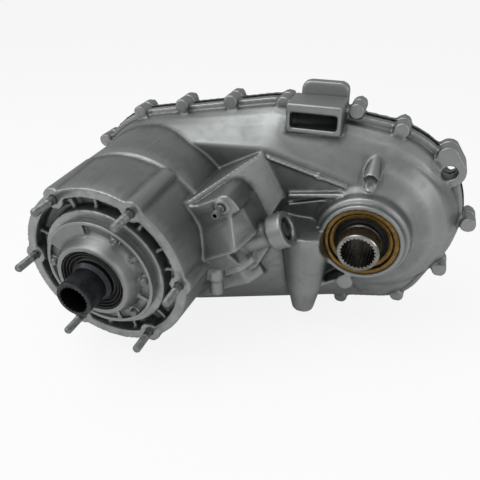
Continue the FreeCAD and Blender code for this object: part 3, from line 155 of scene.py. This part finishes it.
def shotBlastedAluminium(sheet):
    material, tree, place = startMaterial("shotBlastedAluminium")
    blotch = grain(tree, place, sheet["blotchMm"], 3.0, 0.5)
    stain = grain(tree, place, sheet["stainMm"], 5.0, 0.6)
    fine = grain(tree, place, sheet["grainMm"], 2.0, 0.6)
    relief = addNode(tree, "ShaderNodeAttribute", {"attribute_name": "relief"}).outputs["Fac"]
    metal = mixColour(tree, mapped(tree, blotch, 0.0, 1.0, *sheet["paleRange"]), linearColour(sheet["metal"]),
                      linearColour(sheet["pale"]))
    stained = mapped(tree, stain, 0.0, sheet["stainShare"], *sheet["stainRange"])
    metal = mixColour(tree, stained, metal, linearColour(sheet["stained"]))
    # painted shade: hollows in the relief are darkened, more strongly where the stain noise is high
    hollow = mapped(tree, relief, 0.0, 1.0, *sheet["hollowRange"])
    paintedShadeAmount = addNode(tree, "ShaderNodeMath", {"operation": "MULTIPLY"},
                    {0: hollow, 1: mapped(tree, stain, *sheet["paintedShadeShare"])})
    metal = mixColour(tree, paintedShadeAmount.outputs[0], metal, linearColour(sheet["paintedShade"]))
    # painted highlight: ridges in the relief are brightened
    ridge = mapped(tree, relief, sheet["paintedRidgeHighlightShare"], 0.0, *sheet["ridgeRange"])
    metal = mixColour(tree, ridge, metal, linearColour(sheet["paintedRidgeHighlight"]))
    rough = mapped(tree, stain, *sheet["roughness"], *roughRange)
    bump = grainBump(tree, 0.5, sheet["grainDepthMm"], fine)
    finishMaterial(tree, metal, rough, 1.0, bump)
    return material


# ---- worked metals: base and stain colours, roughness, grain size and the direction of the tool marks
metalSheets = {
    # face-milled aluminium: brighter than the casting round it, with fine arcs left by the cutter
    "milledAluminium": {"base": "9fa2a2", "stain": "8a8d8d", "rough": (0.28, 0.42),
                        "grainMm": 14, "markMm": 0.9, "marks": (1, 6, 1), "depthMm": 0.03},
    # phosphated steel: dark grey and softly shiny with oil, with turning rings that catch the light
    "phosphatedSteel": {"base": "45474a", "stain": "2e3032", "rough": (0.36, 0.50),
                        "grainMm": 9, "markMm": 1.4, "marks": (0.12, 1, 0.12), "depthMm": 0.04},
    # turned steel: clean mid grey, with rings round the axis
    "turnedSteel": {"base": "9a9995", "stain": "6c6b68", "rough": (0.24, 0.38),
                    "grainMm": 12, "markMm": 1.0, "marks": (0.1, 1, 0.1), "depthMm": 0.03},
    # zinc-plated fasteners: mid grey and dull, with darker spots of handling
    "zincPlatedSteel": {"base": "8d8f8f", "stain": "707373", "rough": (0.40, 0.56),
                        "grainMm": 4, "markMm": 0.8, "marks": (1, 1, 1), "depthMm": 0.02},
    # yellow zinc gone dull: a warm brown that drifts towards olive
    "yellowZincSteel": {"base": "86693a", "stain": "5f5230", "rough": (0.26, 0.42),
                        "grainMm": 7, "markMm": 0.8, "marks": (0.3, 1, 0.3), "depthMm": 0.02},
    # ground bearing steel: the brightest metal here, almost mirror-like
    "groundBearingSteel": {"base": "bdbfc1", "stain": "9b9d9f", "rough": (0.14, 0.24),
                           "grainMm": 16, "markMm": 0.6, "marks": (0.1, 1, 0.1), "depthMm": 0.01},
    # carburised gear steel: dull grey with a warm brown cast where it was quenched
    "carburisedSteel": {"base": "77746f", "stain": "4f4a45", "rough": (0.34, 0.50),
                        "grainMm": 8, "markMm": 0.9, "marks": (1, 0.3, 1), "depthMm": 0.03},
    # sintered steel: dark, dry and evenly porous
    "sinteredSteel": {"base": "5b5a58", "stain": "3f3e3d", "rough": (0.50, 0.66),
                      "grainMm": 1.2, "markMm": 0.7, "marks": (1, 1, 1), "depthMm": 0.05},
    # blackened chain plates: blue-black, rubbed to grey on their edges
    "blackenedChainSteel": {"base": "4a4b4f", "stain": "232427", "rough": (0.32, 0.48),
                            "grainMm": 5, "markMm": 0.9, "marks": (1, 0.2, 1), "depthMm": 0.02},
    # bearing bronze: warm brown gold, wiped dull
    "leadedBronze": {"base": "a17f4a", "stain": "74562f", "rough": (0.30, 0.44),
                     "grainMm": 10, "markMm": 0.8, "marks": (0.1, 1, 0.1), "depthMm": 0.02},
}


def workedMetal(name, sheet):
    material, tree, place = startMaterial(name)
    patch = grain(tree, place, sheet["grainMm"], 4.0, 0.6)
    marks = grain(tree, place, sheet["markMm"], 2.0, 0.5, sheet["marks"])
    colour = mixColour(tree, mapped(tree, patch, 0.0, 1.0, 0.38, 0.68), linearColour(sheet["base"]),
                       linearColour(sheet["stain"]))
    rough = mapped(tree, patch, *sheet["rough"], *roughRange)
    bump = grainBump(tree, 0.5, sheet["depthMm"], marks)
    finishMaterial(tree, colour, rough, 1.0, bump)
    return material


# ---- soft and moulded finishes
softSheets = {
    # moulded nitrile rubber: black with a faint grey bloom and a soft sheen
    "nitrileRubber": {"base": "141414", "stain": "26272a", "rough": (0.42, 0.60),
                      "grainMm": 3.5, "depthMm": 0.05},
    # cured silicone sealant: black, lumpy and slightly glossy
    "curedSealant": {"base": "0d0d0e", "stain": "1c1c1e", "rough": (0.30, 0.50),
                     "grainMm": 2.5, "depthMm": 0.20},
    # glass-filled nylon: cream with fine streaks along the mould flow
    "glassFilledNylon": {"base": "b9ab88", "stain": "9c8d6b", "rough": (0.45, 0.60),
                         "grainMm": 2.0, "depthMm": 0.05},
}


def mouldedFinish(name, sheet):
    material, tree, place = startMaterial(name)
    patch = grain(tree, place, sheet["grainMm"], 4.0, 0.6)
    colour = mixColour(tree, mapped(tree, patch, 0.0, 1.0, 0.4, 0.7), linearColour(sheet["base"]),
                       linearColour(sheet["stain"]))
    rough = mapped(tree, patch, *sheet["rough"], *roughRange)
    bump = grainBump(tree, 0.6, sheet["depthMm"], patch)
    finishMaterial(tree, colour, rough, 0.0, bump)
    return material


finishes = {"shotBlastedAluminium": shotBlastedAluminium(castingFinish)}
for name, sheet in metalSheets.items():
    finishes[name] = workedMetal(name, sheet)
for name, sheet in softSheets.items():
    finishes[name] = mouldedFinish(name, sheet)

slotFinish = {
    "cast_aluminium": "shotBlastedAluminium",
    "machined_aluminium": "milledAluminium",
    "bearing_steel": "groundBearingSteel",
    "gear_steel": "carburisedSteel",
    "dark_steel": "phosphatedSteel",
    "bright_steel": "turnedSteel",
    "zinc_steel": "yellowZincSteel",
    "fastener_steel": "zincPlatedSteel",
    "sintered_steel": "sinteredSteel",
    "chain_steel": "blackenedChainSteel",
    "bronze": "leadedBronze",
    "nitrile_rubber": "nitrileRubber",
    "black_sealant": "curedSealant",
    "nylon_cage": "glassFilledNylon",
}
nodeSlot = {entry["node"]: entry["material_slot"] for entry in frame["record"]["subparts"]}
for name, piece in cadNodes.items():
    piece.data.materials.clear()
    finish = "zincPlatedSteel" if name == "vent_tube" else slotFinish[nodeSlot[name]]
    piece.data.materials.append(finishes[finish])
print("finishes:", len(finishes))


# ---- mesh helpers
weldMm = 0.002


def newPiece(name, mesh, finishNames):
    piece = bpy.data.objects.new(name, mesh)
    bpy.context.scene.collection.objects.link(piece)
    mesh.materials.clear()
    for finish in finishNames:
        mesh.materials.append(finishes[finish])
    return piece


# the piece's evaluated shape becomes its own plain mesh
def settle(piece):
    bpy.context.view_layer.update()
    shape = bpy.data.meshes.new_from_object(piece.evaluated_get(bpy.context.evaluated_depsgraph_get()))
    piece.modifiers.clear()
    old = piece.data
    materials = list(old.materials)
    piece.data = shape
    shape.materials.clear()
    for material in materials:
        shape.materials.append(material)
    bpy.data.meshes.remove(old)


# a CAD node's faces, welded where they meet
def weldedShape(nodeName):
    shape = bmesh.new()
    shape.from_mesh(cadNodes[nodeName].data)
    bmesh.ops.remove_doubles(shape, verts=shape.verts, dist=weldMm * mm)
    return shape


def weldedCopy(name, nodeName):
    shape = weldedShape(nodeName)
    mesh = bpy.data.meshes.new(name)
    shape.to_mesh(mesh)
    shape.free()
    return mesh


def smoothByNormals(mesh, angle):
    mesh.shade_smooth()
    mesh.set_sharp_from_angle(angle=math.radians(angle))


# 0 on ridges, 0.5 on flats, 1 in hollows
def reliefOf(mesh, rounds=10, fullMm=0.55):
    count = len(mesh.vertices)
    place = np.empty(count * 3)
    normal = np.empty(count * 3)
    mesh.vertices.foreach_get("co", place)
    mesh.vertices.foreach_get("normal", normal)
    place = place.reshape(-1, 3)
    normal = normal.reshape(-1, 3)
    edges = np.empty(len(mesh.edges) * 2, int)
    mesh.edges.foreach_get("vertices", edges)
    first, second = edges.reshape(-1, 2).T
    share = np.bincount(first, minlength=count) + np.bincount(second, minlength=count)
    share = np.maximum(share, 1)
    smooth = place.copy()
    for _ in range(rounds):
        total = np.zeros_like(smooth)
        for axis in range(3):
            total[:, axis] = np.bincount(first, smooth[second, axis], count)
            total[:, axis] += np.bincount(second, smooth[first, axis], count)
        smooth = total / share[:, None]
    rise = ((smooth - place) * normal).sum(1) / (fullMm * mm)
    layer = mesh.attributes.new("relief", "FLOAT", "POINT")
    layer.data.foreach_set("value", np.clip(0.5 + 0.5 * rise, 0, 1).astype(np.float32))


# rings of points joined by faces, closed on themselves or with an end face on each end
def bridgedMesh(name, shape, rings, looped):
    following = rings[1:] + rings[:1] if looped else rings[1:]
    for lower, upper in zip(rings, following):
        for step in range(len(lower)):
            after = (step + 1) % len(lower)
            shape.faces.new((lower[step], lower[after], upper[after], upper[step]))
    if not looped:
        shape.faces.new(rings[0])
        shape.faces.new(rings[-1])
    bmesh.ops.recalc_face_normals(shape, faces=shape.faces)
    mesh = bpy.data.meshes.new(name)
    shape.to_mesh(mesh)
    shape.free()
    return mesh


# the point at a radius in metres and a share of a turn round the Y axis
def roundY(radius, turn, level):
    angle = 2 * math.pi * turn
    return (radius * math.cos(angle), level, radius * math.sin(angle))


# ---- castings with the soft corners that a die leaves
castings = {
    "frontCase": {"source": "front_case", "voxelMm": 1.7, "rounds": 5, "triangles": 190000, "milledY": 0.0},
    "rearCase": {"source": "rear_case", "voxelMm": 1.8, "rounds": 4, "triangles": 120000},
    "rearExtension": {"source": "rear_extension", "voxelMm": 1.6, "rounds": 3, "triangles": 60000},
    "bearingRetainer": {"source": "bearing_retainer", "voxelMm": 1.0, "rounds": 2, "triangles": 60000},
}
milledReachMm = 0.7  # a face this near the milled level, and square to it, was milled


def makeCasting(name, sheet):
    piece = newPiece(name, weldedCopy(name, sheet["source"]), ["shotBlastedAluminium", "milledAluminium"])
    size = sheet["voxelMm"] * 1
    remesh = piece.modifiers.new("skin", "REMESH")
    remesh.mode = "VOXEL"
    remesh.voxel_size = size * mm
    soften = piece.modifiers.new("soften", "SMOOTH")
    soften.factor = 0.5
    soften.iterations = sheet["rounds"]
    settle(piece)
    triangles = 2 * len(piece.data.polygons)
    if triangles > sheet["triangles"]:
        thin = piece.modifiers.new("thin", "DECIMATE")
        thin.ratio = sheet["triangles"] / triangles
        settle(piece)
    mesh = piece.data
    reliefOf(mesh)
    mesh.shade_smooth()
    if "milledY" in sheet:
        for face in mesh.polygons:
            near = abs(face.center.y / mm - sheet["milledY"]) < milledReachMm
            if near and abs(face.normal.y) > 0.98:
                face.material_index = 1
    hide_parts(sheet["source"])
    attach(piece, "housing")
    print("casting", name, len(mesh.polygons))


for name, sheet in castings.items():
    makeCasting(name, sheet)


# ---- seals: each profile runs from the outer back corner round by the front, as radius and depth in mm
# behind the front face of the node that it lies in
sealSheets = {
    # one-piece shaft seal with two dust ridges in front of its lip
    "inputSeal": {
        "node": "input_seal", "finish": "nitrileRubber", "stands": True,
        "profile": [
            (39.1, 11.0), (39.1, 0.4), (38.7, 0.0), (37.8, 0.0), (37.4, 0.4), (37.2, 3.8), (36.2, 4.4),
            (35.6, 3.8), (35.3, 1.6), (34.8, 1.1), (34.2, 1.1), (33.8, 1.6), (33.5, 4.6), (32.6, 5.2),
            (31.9, 4.6), (31.6, 2.4), (31.1, 1.9), (30.4, 1.9), (30.0, 2.4), (29.6, 5.0), (28.6, 5.6),
            (27.6, 4.8), (26.4, 2.4), (25.7, 2.1), (25.15, 2.7), (25.1, 6.0), (26.2, 8.4), (28.0, 8.8),
            (36.6, 8.8), (36.6, 11.0)]},
    # outer steel case with a rolled front edge
    "outputSealCase": {
        "node": "output_seal_shell", "finish": "yellowZincSteel", "stands": True,
        "profile": [
            (43.65, 10.2), (43.65, 0.5), (43.2, 0.0), (38.6, 0.0), (38.1, 0.5), (37.9, 2.2), (41.4, 2.3),
            (41.75, 2.8), (41.75, 10.2)]},
    # inner steel case, seen past a dark groove
    "outputSealInnerCase": {
        "node": "output_seal_lip", "finish": "yellowZincSteel", "stands": False,
        "profile": [
            (36.5, 4.3), (36.5, 0.5), (36.1, 0.05), (35.3, 0.05), (31.5, 1.1), (31.0, 1.7), (31.0, 4.3)]},
    # rubber round it: groove floor, dust fold and lip
    "outputSealLip": {
        "node": "output_seal_lip", "finish": "nitrileRubber", "stands": True,
        "profile": [
            (41.55, 7.7), (41.55, 1.8), (36.9, 1.8), (36.9, 4.7), (30.6, 4.7), (30.6, 2.4), (29.8, 1.7),
            (29.0, 2.3), (28.4, 3.7), (27.4, 4.1), (26.6, 3.3), (25.7, 1.8), (25.15, 2.1), (25.1, 5.3),
            (26.4, 7.0), (30.0, 7.7)]},
}
sealSteps = 96


def makeSeal(name, sheet):
    low, high = [Vector(corner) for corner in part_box(sheet["node"])]
    centre = Vector(((low.x + high.x) / 2, low.y, (low.z + high.z) / 2))
    shape = bmesh.new()
    rings = []
    for radius, depth in sheet["profile"]:
        ring = []
        for step in range(sealSteps):
            ring.append(shape.verts.new(centre + Vector(roundY(radius * mm, step / sealSteps, depth * mm))))
        rings.append(ring)
    mesh = bridgedMesh(name, shape, rings, True)
    smoothByNormals(mesh, 50)
    piece = newPiece(name, mesh, [sheet["finish"]])
    if sheet["stands"]:
        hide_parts(sheet["node"])
    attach(piece, "housing")


for name, sheet in sealSheets.items():
    makeSeal(name, sheet)
print("seals:", len(sealSheets))


# ---- sealant squeezed out along the joint
# the longest closed outline of a flat node's high Y face
def outerLoop(nodeName):
    shape = weldedShape(nodeName)
    level = max(vert.co.y for vert in shape.verts)
    after = {}
    for edge in shape.edges:
        flat = all(abs(vert.co.y - level) < 0.01 * mm for vert in edge.verts)
        faces = [abs(face.normal.y) > 0.5 for face in edge.link_faces]
        if flat and len(faces) == 2 and faces[0] != faces[1]:
            first, second = edge.verts
            after.setdefault(first, []).append(second)
            after.setdefault(second, []).append(first)
    loops = []
    waiting = set(after)
    while waiting:
        vert = waiting.pop()
        loop = [vert.co.copy()]
        while vert:
            following = [other for other in after[vert] if other in waiting]
            vert = following[0] if following else None
            if vert:
                waiting.discard(vert)
                loop.append(vert.co.copy())
        loops.append(loop)
    shape.free()
    return max(loops, key=lambda loop: max(place.x for place in loop) - min(place.x for place in loop))


squeezeSheet = {"spacingMm": 1.6, "radiusMm": 0.9, "lumpMm": 1.1, "lumpLengthMm": 5.0, "outMm": 0.3,
                "sides": 8}


def squeezedSealant(sheet):
    loop = outerLoop("case_sealant")
    low, high = [Vector(corner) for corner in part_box("case_sealant")]
    level = (low.y + high.y) / 2
    places = []
    for first, second in zip(loop, loop[1:] + loop[:1]):
        count = max(1, round((second - first).length / (sheet["spacingMm"] * mm)))
        places += [first.lerp(second, step / count) for step in range(count)]
    middle = sum(places, Vector()) / len(places)
    shape = bmesh.new()
    rings = []
    for index, place in enumerate(places):
        along = (places[(index + 1) % len(places)] - places[index - 1]).normalized()
        outward = along.cross(Vector((0, 1, 0))).normalized()
        if outward.dot(place - middle) < 0:
            outward.negate()
        lump = max(0.0, noise.noise(place / (sheet["lumpLengthMm"] * mm)))
        radius = (sheet["radiusMm"] + sheet["lumpMm"] * lump) * mm
        centre = Vector((place.x, level, place.z)) + outward * sheet["outMm"] * mm
        ring = []
        for side in range(sheet["sides"]):
            turn = 2 * math.pi * side / sheet["sides"]
            spoke = math.cos(turn) * outward + math.sin(turn) * Vector((0, 1, 0))
            ring.append(shape.verts.new(centre + radius * spoke))
        rings.append(ring)
    mesh = bridgedMesh("sealantSqueeze", shape, rings, True)
    mesh.shade_smooth()
    piece = newPiece("sealantSqueeze", mesh, ["curedSealant"])
    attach(piece, "housing")
    print("sealant rings:", len(rings))


squeezedSealant(squeezeSheet)


# ---- fasteners
# lowest and highest corner of each separate solid in a node
def islandsOf(nodeName):
    shape = weldedShape(nodeName)
    waiting = set(shape.verts)
    islands = []
    while waiting:
        stack = [waiting.pop()]
        members = []
        while stack:
            vert = stack.pop()
            members.append(vert.co.copy())
            for edge in vert.link_edges:
                other = edge.other_vert(vert)
                if other in waiting:
                    waiting.remove(other)
                    stack.append(other)
        low = Vector([min(co[axis] for co in members) for axis in range(3)])
        high = Vector([max(co[axis] for co in members) for axis in range(3)])
        islands.append((low, high))
    shape.free()
    return islands


# head towards +Y from y = 0, shank towards -Y
def hexBoltMesh(name, sheet):
    shape = bmesh.new()
    corner = sheet["across"] / math.sqrt(3)
    flat = sheet["across"] / 2
    head = sheet["head"]
    steps = 12

    # even steps lie on the hexagon's corners, odd steps on its flats
    def ring(onCorner, onFlat, cornerLevel, flatLevel):
        verts = []
        for step in range(steps):
            radius, level = (onFlat, flatLevel) if step % 2 else (onCorner, cornerLevel)
            verts.append(shape.verts.new(roundY(radius * mm, step / steps, level * mm)))
        return verts

    def roundRing(radius, level):
        return ring(radius, radius, level, level)

    rings = [
        roundRing(sheet["shank"] * 0.8, -sheet["length"]),
        roundRing(sheet["shank"], 1 - sheet["length"]),
        roundRing(sheet["shank"], 0),
        roundRing(sheet["washer"], 0),
        roundRing(sheet["washer"], 0.8),
        ring(corner * 1.02, flat * 1.04, 1.6, 1.6),
        ring(corner, flat, head - 1.3, head - 0.5),
        roundRing(flat * 0.93, head),
        roundRing(flat * 0.60, head),
        roundRing(flat * 0.52, head - 0.4),
    ]
    return bridgedMesh(name, shape, rings, False)


# tip towards -Y, thread cut as a true helix
def threadedRodMesh(name, sheet):
    steps = 24
    rowsPerTurn = 4
    shape = bmesh.new()
    rows = int((sheet["high"] - sheet["low"]) / sheet["pitch"] * rowsPerTurn)
    rings = []
    for row in range(rows + 1):
        level = sheet["low"] + (sheet["high"] - sheet["low"]) * row / rows
        outer = sheet["radius"] if level < 0 else sheet["rootRadius"]
        plain = sheet["plainLow"] < level < sheet["plainHigh"]
        ring = []
        for step in range(steps):
            turn = step / steps
            depth = sheet["depth"] * abs(2 * ((level / sheet["pitch"] + turn) % 1.0) - 1)
            pointed = outer - 1.6 + (level - sheet["low"]) * 0.9
            radius = outer - 0.2 if plain else min(outer - depth, pointed)
            ring.append(shape.verts.new(roundY(radius * mm, turn, level * mm)))
        rings.append(ring)
    return bridgedMesh(name, shape, rings, False)


# sets one fastener on every point, each turned by its own seeded angle
def fastenerTree():
    tree = bpy.data.node_groups.new("fastenersOnPoints", "GeometryNodeTree")
    tree.interface.new_socket("Geometry", in_out="INPUT", socket_type="NodeSocketGeometry")
    tree.interface.new_socket("Fastener", in_out="INPUT", socket_type="NodeSocketObject")
    tree.interface.new_socket("Finish", in_out="INPUT", socket_type="NodeSocketMaterial")
    tree.interface.new_socket("Spread", in_out="INPUT", socket_type="NodeSocketFloat")
    tree.interface.new_socket("Seed", in_out="INPUT", socket_type="NodeSocketInt")
    tree.interface.new_socket("Geometry", in_out="OUTPUT", socket_type="NodeSocketGeometry")
    start = addNode(tree, "NodeGroupInput")
    points = addNode(tree, "GeometryNodeMeshToPoints", None, {"Mesh": start.outputs["Geometry"]})
    info = addNode(tree, "GeometryNodeObjectInfo", None, {"Object": start.outputs["Fastener"]})
    angle = addNode(tree, "FunctionNodeRandomValue", {"data_type": "FLOAT"})
    tree.links.new(start.outputs["Spread"], angle.inputs[3])
    tree.links.new(start.outputs["Seed"], angle.inputs["Seed"])
    turn = addNode(tree, "ShaderNodeCombineXYZ", None, {"Y": angle.outputs[1]})
    placed = addNode(tree, "GeometryNodeInstanceOnPoints", None, {"Points": points.outputs["Points"],
                                                                  "Instance": info.outputs["Geometry"],
                                                                  "Rotation": turn.outputs["Vector"]})
    solid = addNode(tree, "GeometryNodeRealizeInstances", None, {"Geometry": placed.outputs["Instances"]})
    coated = addNode(tree, "GeometryNodeSetMaterial", None, {"Geometry": solid.outputs["Geometry"],
                                                             "Material": start.outputs["Finish"]})
    addNode(tree, "NodeGroupOutput", None, {"Geometry": coated.outputs["Geometry"]})
    return tree


fastenersOnPoints = fastenerTree()


def setFasteners(name, fastenerMesh, places, finish, source, seed=3):
    pattern = bpy.data.objects.new(name + "Pattern", fastenerMesh)
    points = bpy.data.meshes.new(name)
    points.from_pydata([tuple(place) for place in places], [], [])
    piece = newPiece(name, points, [finish])
    modifier = piece.modifiers.new("set", "NODES")
    modifier.node_group = fastenersOnPoints
    wanted = {"Fastener": pattern, "Finish": finishes[finish], "Spread": 2 * math.pi, "Seed": seed}
    for socket in fastenersOnPoints.interface.items_tree:
        if socket.in_out == "INPUT" and socket.name in wanted:
            modifier[socket.identifier] = wanted[socket.name]
    settle(piece)
    piece.data.materials.clear()
    piece.data.materials.append(finishes[finish])
    for face in piece.data.polygons:
        face.material_index = 0
    smoothByNormals(piece.data, 32)
    bpy.data.objects.remove(pattern)
    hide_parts(source)
    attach(piece, "housing")
    print("fasteners", name, len(places))


# points under the heads of a node's bolts, with the heads along sign * Y
def headsTowards(nodeName, sign, head):
    places = []
    for low, high in islandsOf(nodeName):
        level = high.y - head * mm if sign > 0 else low.y + head * mm
        places.append(((low.x + high.x) / 2, level, (low.z + high.z) / 2))
    return places


caseBoltSheet = {"across": 13, "head": 6, "washer": 7.6, "shank": 4, "length": 28}
setFasteners("caseBolts", hexBoltMesh("caseBolt", caseBoltSheet),
             headsTowards("case_bolts", 1, caseBoltSheet["head"]), "zincPlatedSteel", "case_bolts")
extensionBoltSheet = {"across": 13, "head": 6, "washer": 7.6, "shank": 4, "length": 25}
setFasteners("extensionBolts", hexBoltMesh("extensionBolt", extensionBoltSheet),
             headsTowards("extension_bolts", 1, extensionBoltSheet["head"]), "zincPlatedSteel",
             "extension_bolts")
retainerBoltSheet = {"across": 8, "head": 5, "washer": 4.8, "shank": 3, "length": 18}
retainerBoltMesh = hexBoltMesh("retainerBolt", retainerBoltSheet)
retainerBoltMesh.transform(Matrix.Rotation(math.pi, 4, "X"))
setFasteners("retainerBolts", retainerBoltMesh, headsTowards("retainer_bolts", -1, retainerBoltSheet["head"]),
             "zincPlatedSteel", "retainer_bolts")

studSheet = {"radius": 5.0, "rootRadius": 4.8, "pitch": 1.5, "depth": 0.75, "low": -32.0, "high": 21.0,
             "plainLow": -9.0, "plainHigh": 0.5}
studPlaces = [((low.x + high.x) / 2, 0.0, (low.z + high.z) / 2) for low, high in islandsOf("flange_studs")]
setFasteners("flangeStuds", threadedRodMesh("flangeStud", studSheet), studPlaces, "zincPlatedSteel",
             "flange_studs", seed=11)


# ---- camera, light and floor
cameraSheet = {"azimuth": 20.62, "elevation": 33.08, "roll": -1.18, "lens": 36.54,
               "place": (304.8, -365.9, 329.5)}


def aimCamera(sheet):
    azimuth, elevation, roll = [math.radians(sheet[key]) for key in ("azimuth", "elevation", "roll")]
    back = Vector((math.sin(azimuth) * math.cos(elevation), -math.cos(azimuth) * math.cos(elevation),
                   math.sin(elevation)))
    level = Vector((0, 0, 1)).cross(back).normalized()
    rise = back.cross(level)
    right = math.cos(roll) * level + math.sin(roll) * rise
    up = -math.sin(roll) * level + math.cos(roll) * rise
    data = bpy.data.cameras.new("camera")
    data.lens = sheet["lens"]
    data.sensor_width = 36
    data.clip_start = 0.01
    camera = bpy.data.objects.new("camera", data)
    bpy.context.scene.collection.objects.link(camera)
    turn = Matrix((right, up, back)).transposed().to_4x4()
    camera.matrix_world = Matrix.Translation(Vector(sheet["place"]) * mm) @ turn
    bpy.context.scene.camera = camera


aimCamera(cameraSheet)

studioSheet = {
    "floorColour": "f4f4f3",
    "worldStrength": 0.44,
    "floorGlow": 0.86,  # how far the camera sees the floor as even white instead of shaded
    "floorHalfWidth": 8,  # metres
    "floorGapMm": 0.2,
    "aim": (0.12, 0.12, 0.0),  # where every lamp points
    "lamps": {
        "overhead": {"place": (-0.35, -0.25, 1.35), "size": 1.1, "power": 11},
        "left": {"place": (-1.25, -0.9, 0.65), "size": 0.7, "power": 4},
        "right": {"place": (1.35, -0.55, 0.55), "size": 0.6, "power": 3},
    },
}


def makeStudio(sheet):
    aim = Vector(sheet["aim"])
    for name, lamp in sheet["lamps"].items():
        data = bpy.data.lights.new(name, "AREA")
        data.shape = "SQUARE"
        data.size = lamp["size"]
        data.energy = lamp["power"]
        light = bpy.data.objects.new(name, data)
        bpy.context.scene.collection.objects.link(light)
        place = Vector(lamp["place"])
        turn = (place - aim).to_track_quat("Z", "Y").to_matrix().to_4x4()
        light.matrix_world = Matrix.Translation(place) @ turn
    world = bpy.data.worlds.new("studio")
    bpy.context.scene.world = world
    world.use_nodes = True
    tree = world.node_tree
    tree.nodes.clear()
    path = addNode(tree, "ShaderNodeLightPath")
    level = addNode(tree, "ShaderNodeMapRange", None, {"Value": path.outputs["Is Camera Ray"],
                                                       "To Min": sheet["worldStrength"], "To Max": 1.0})
    sky = addNode(tree, "ShaderNodeBackground", None,
                  {"Color": (1, 1, 1, 1), "Strength": level.outputs["Result"]})
    addNode(tree, "ShaderNodeOutputWorld", None, {"Surface": sky.outputs["Background"]})
    material, tree, place = startMaterial("paleFloor")
    path = addNode(tree, "ShaderNodeLightPath")
    shade = addNode(tree, "ShaderNodeBsdfDiffuse", None, {"Color": linearColour(sheet["floorColour"])})
    glow = addNode(tree, "ShaderNodeEmission", None, {"Color": (1, 1, 1, 1), "Strength": 1.0})
    share = addNode(tree, "ShaderNodeMath", {"operation": "MULTIPLY"},
                    {0: path.outputs["Is Camera Ray"], 1: sheet["floorGlow"]})
    both = addNode(tree, "ShaderNodeMixShader", None,
                   {0: share.outputs[0], 1: shade.outputs[0], 2: glow.outputs[0]})
    addNode(tree, "ShaderNodeOutputMaterial", None, {"Surface": both.outputs[0]})
    floorMesh = bpy.data.meshes.new("floor")
    level = cadBounds[0][2] - sheet["floorGapMm"] * mm
    reach = sheet["floorHalfWidth"]
    corners = [(x * reach, y * reach, level) for x, y in ((-1, -1), (1, -1), (1, 1), (-1, 1))]
    floorMesh.from_pydata(corners, [], [(0, 1, 2, 3)])
    floor = bpy.data.objects.new("floor", floorMesh)
    bpy.context.scene.collection.objects.link(floor)
    floorMesh.materials.append(material)


makeStudio(studioSheet)
bpy.context.scene.view_settings.view_transform = "Standard"
print("studio ready")
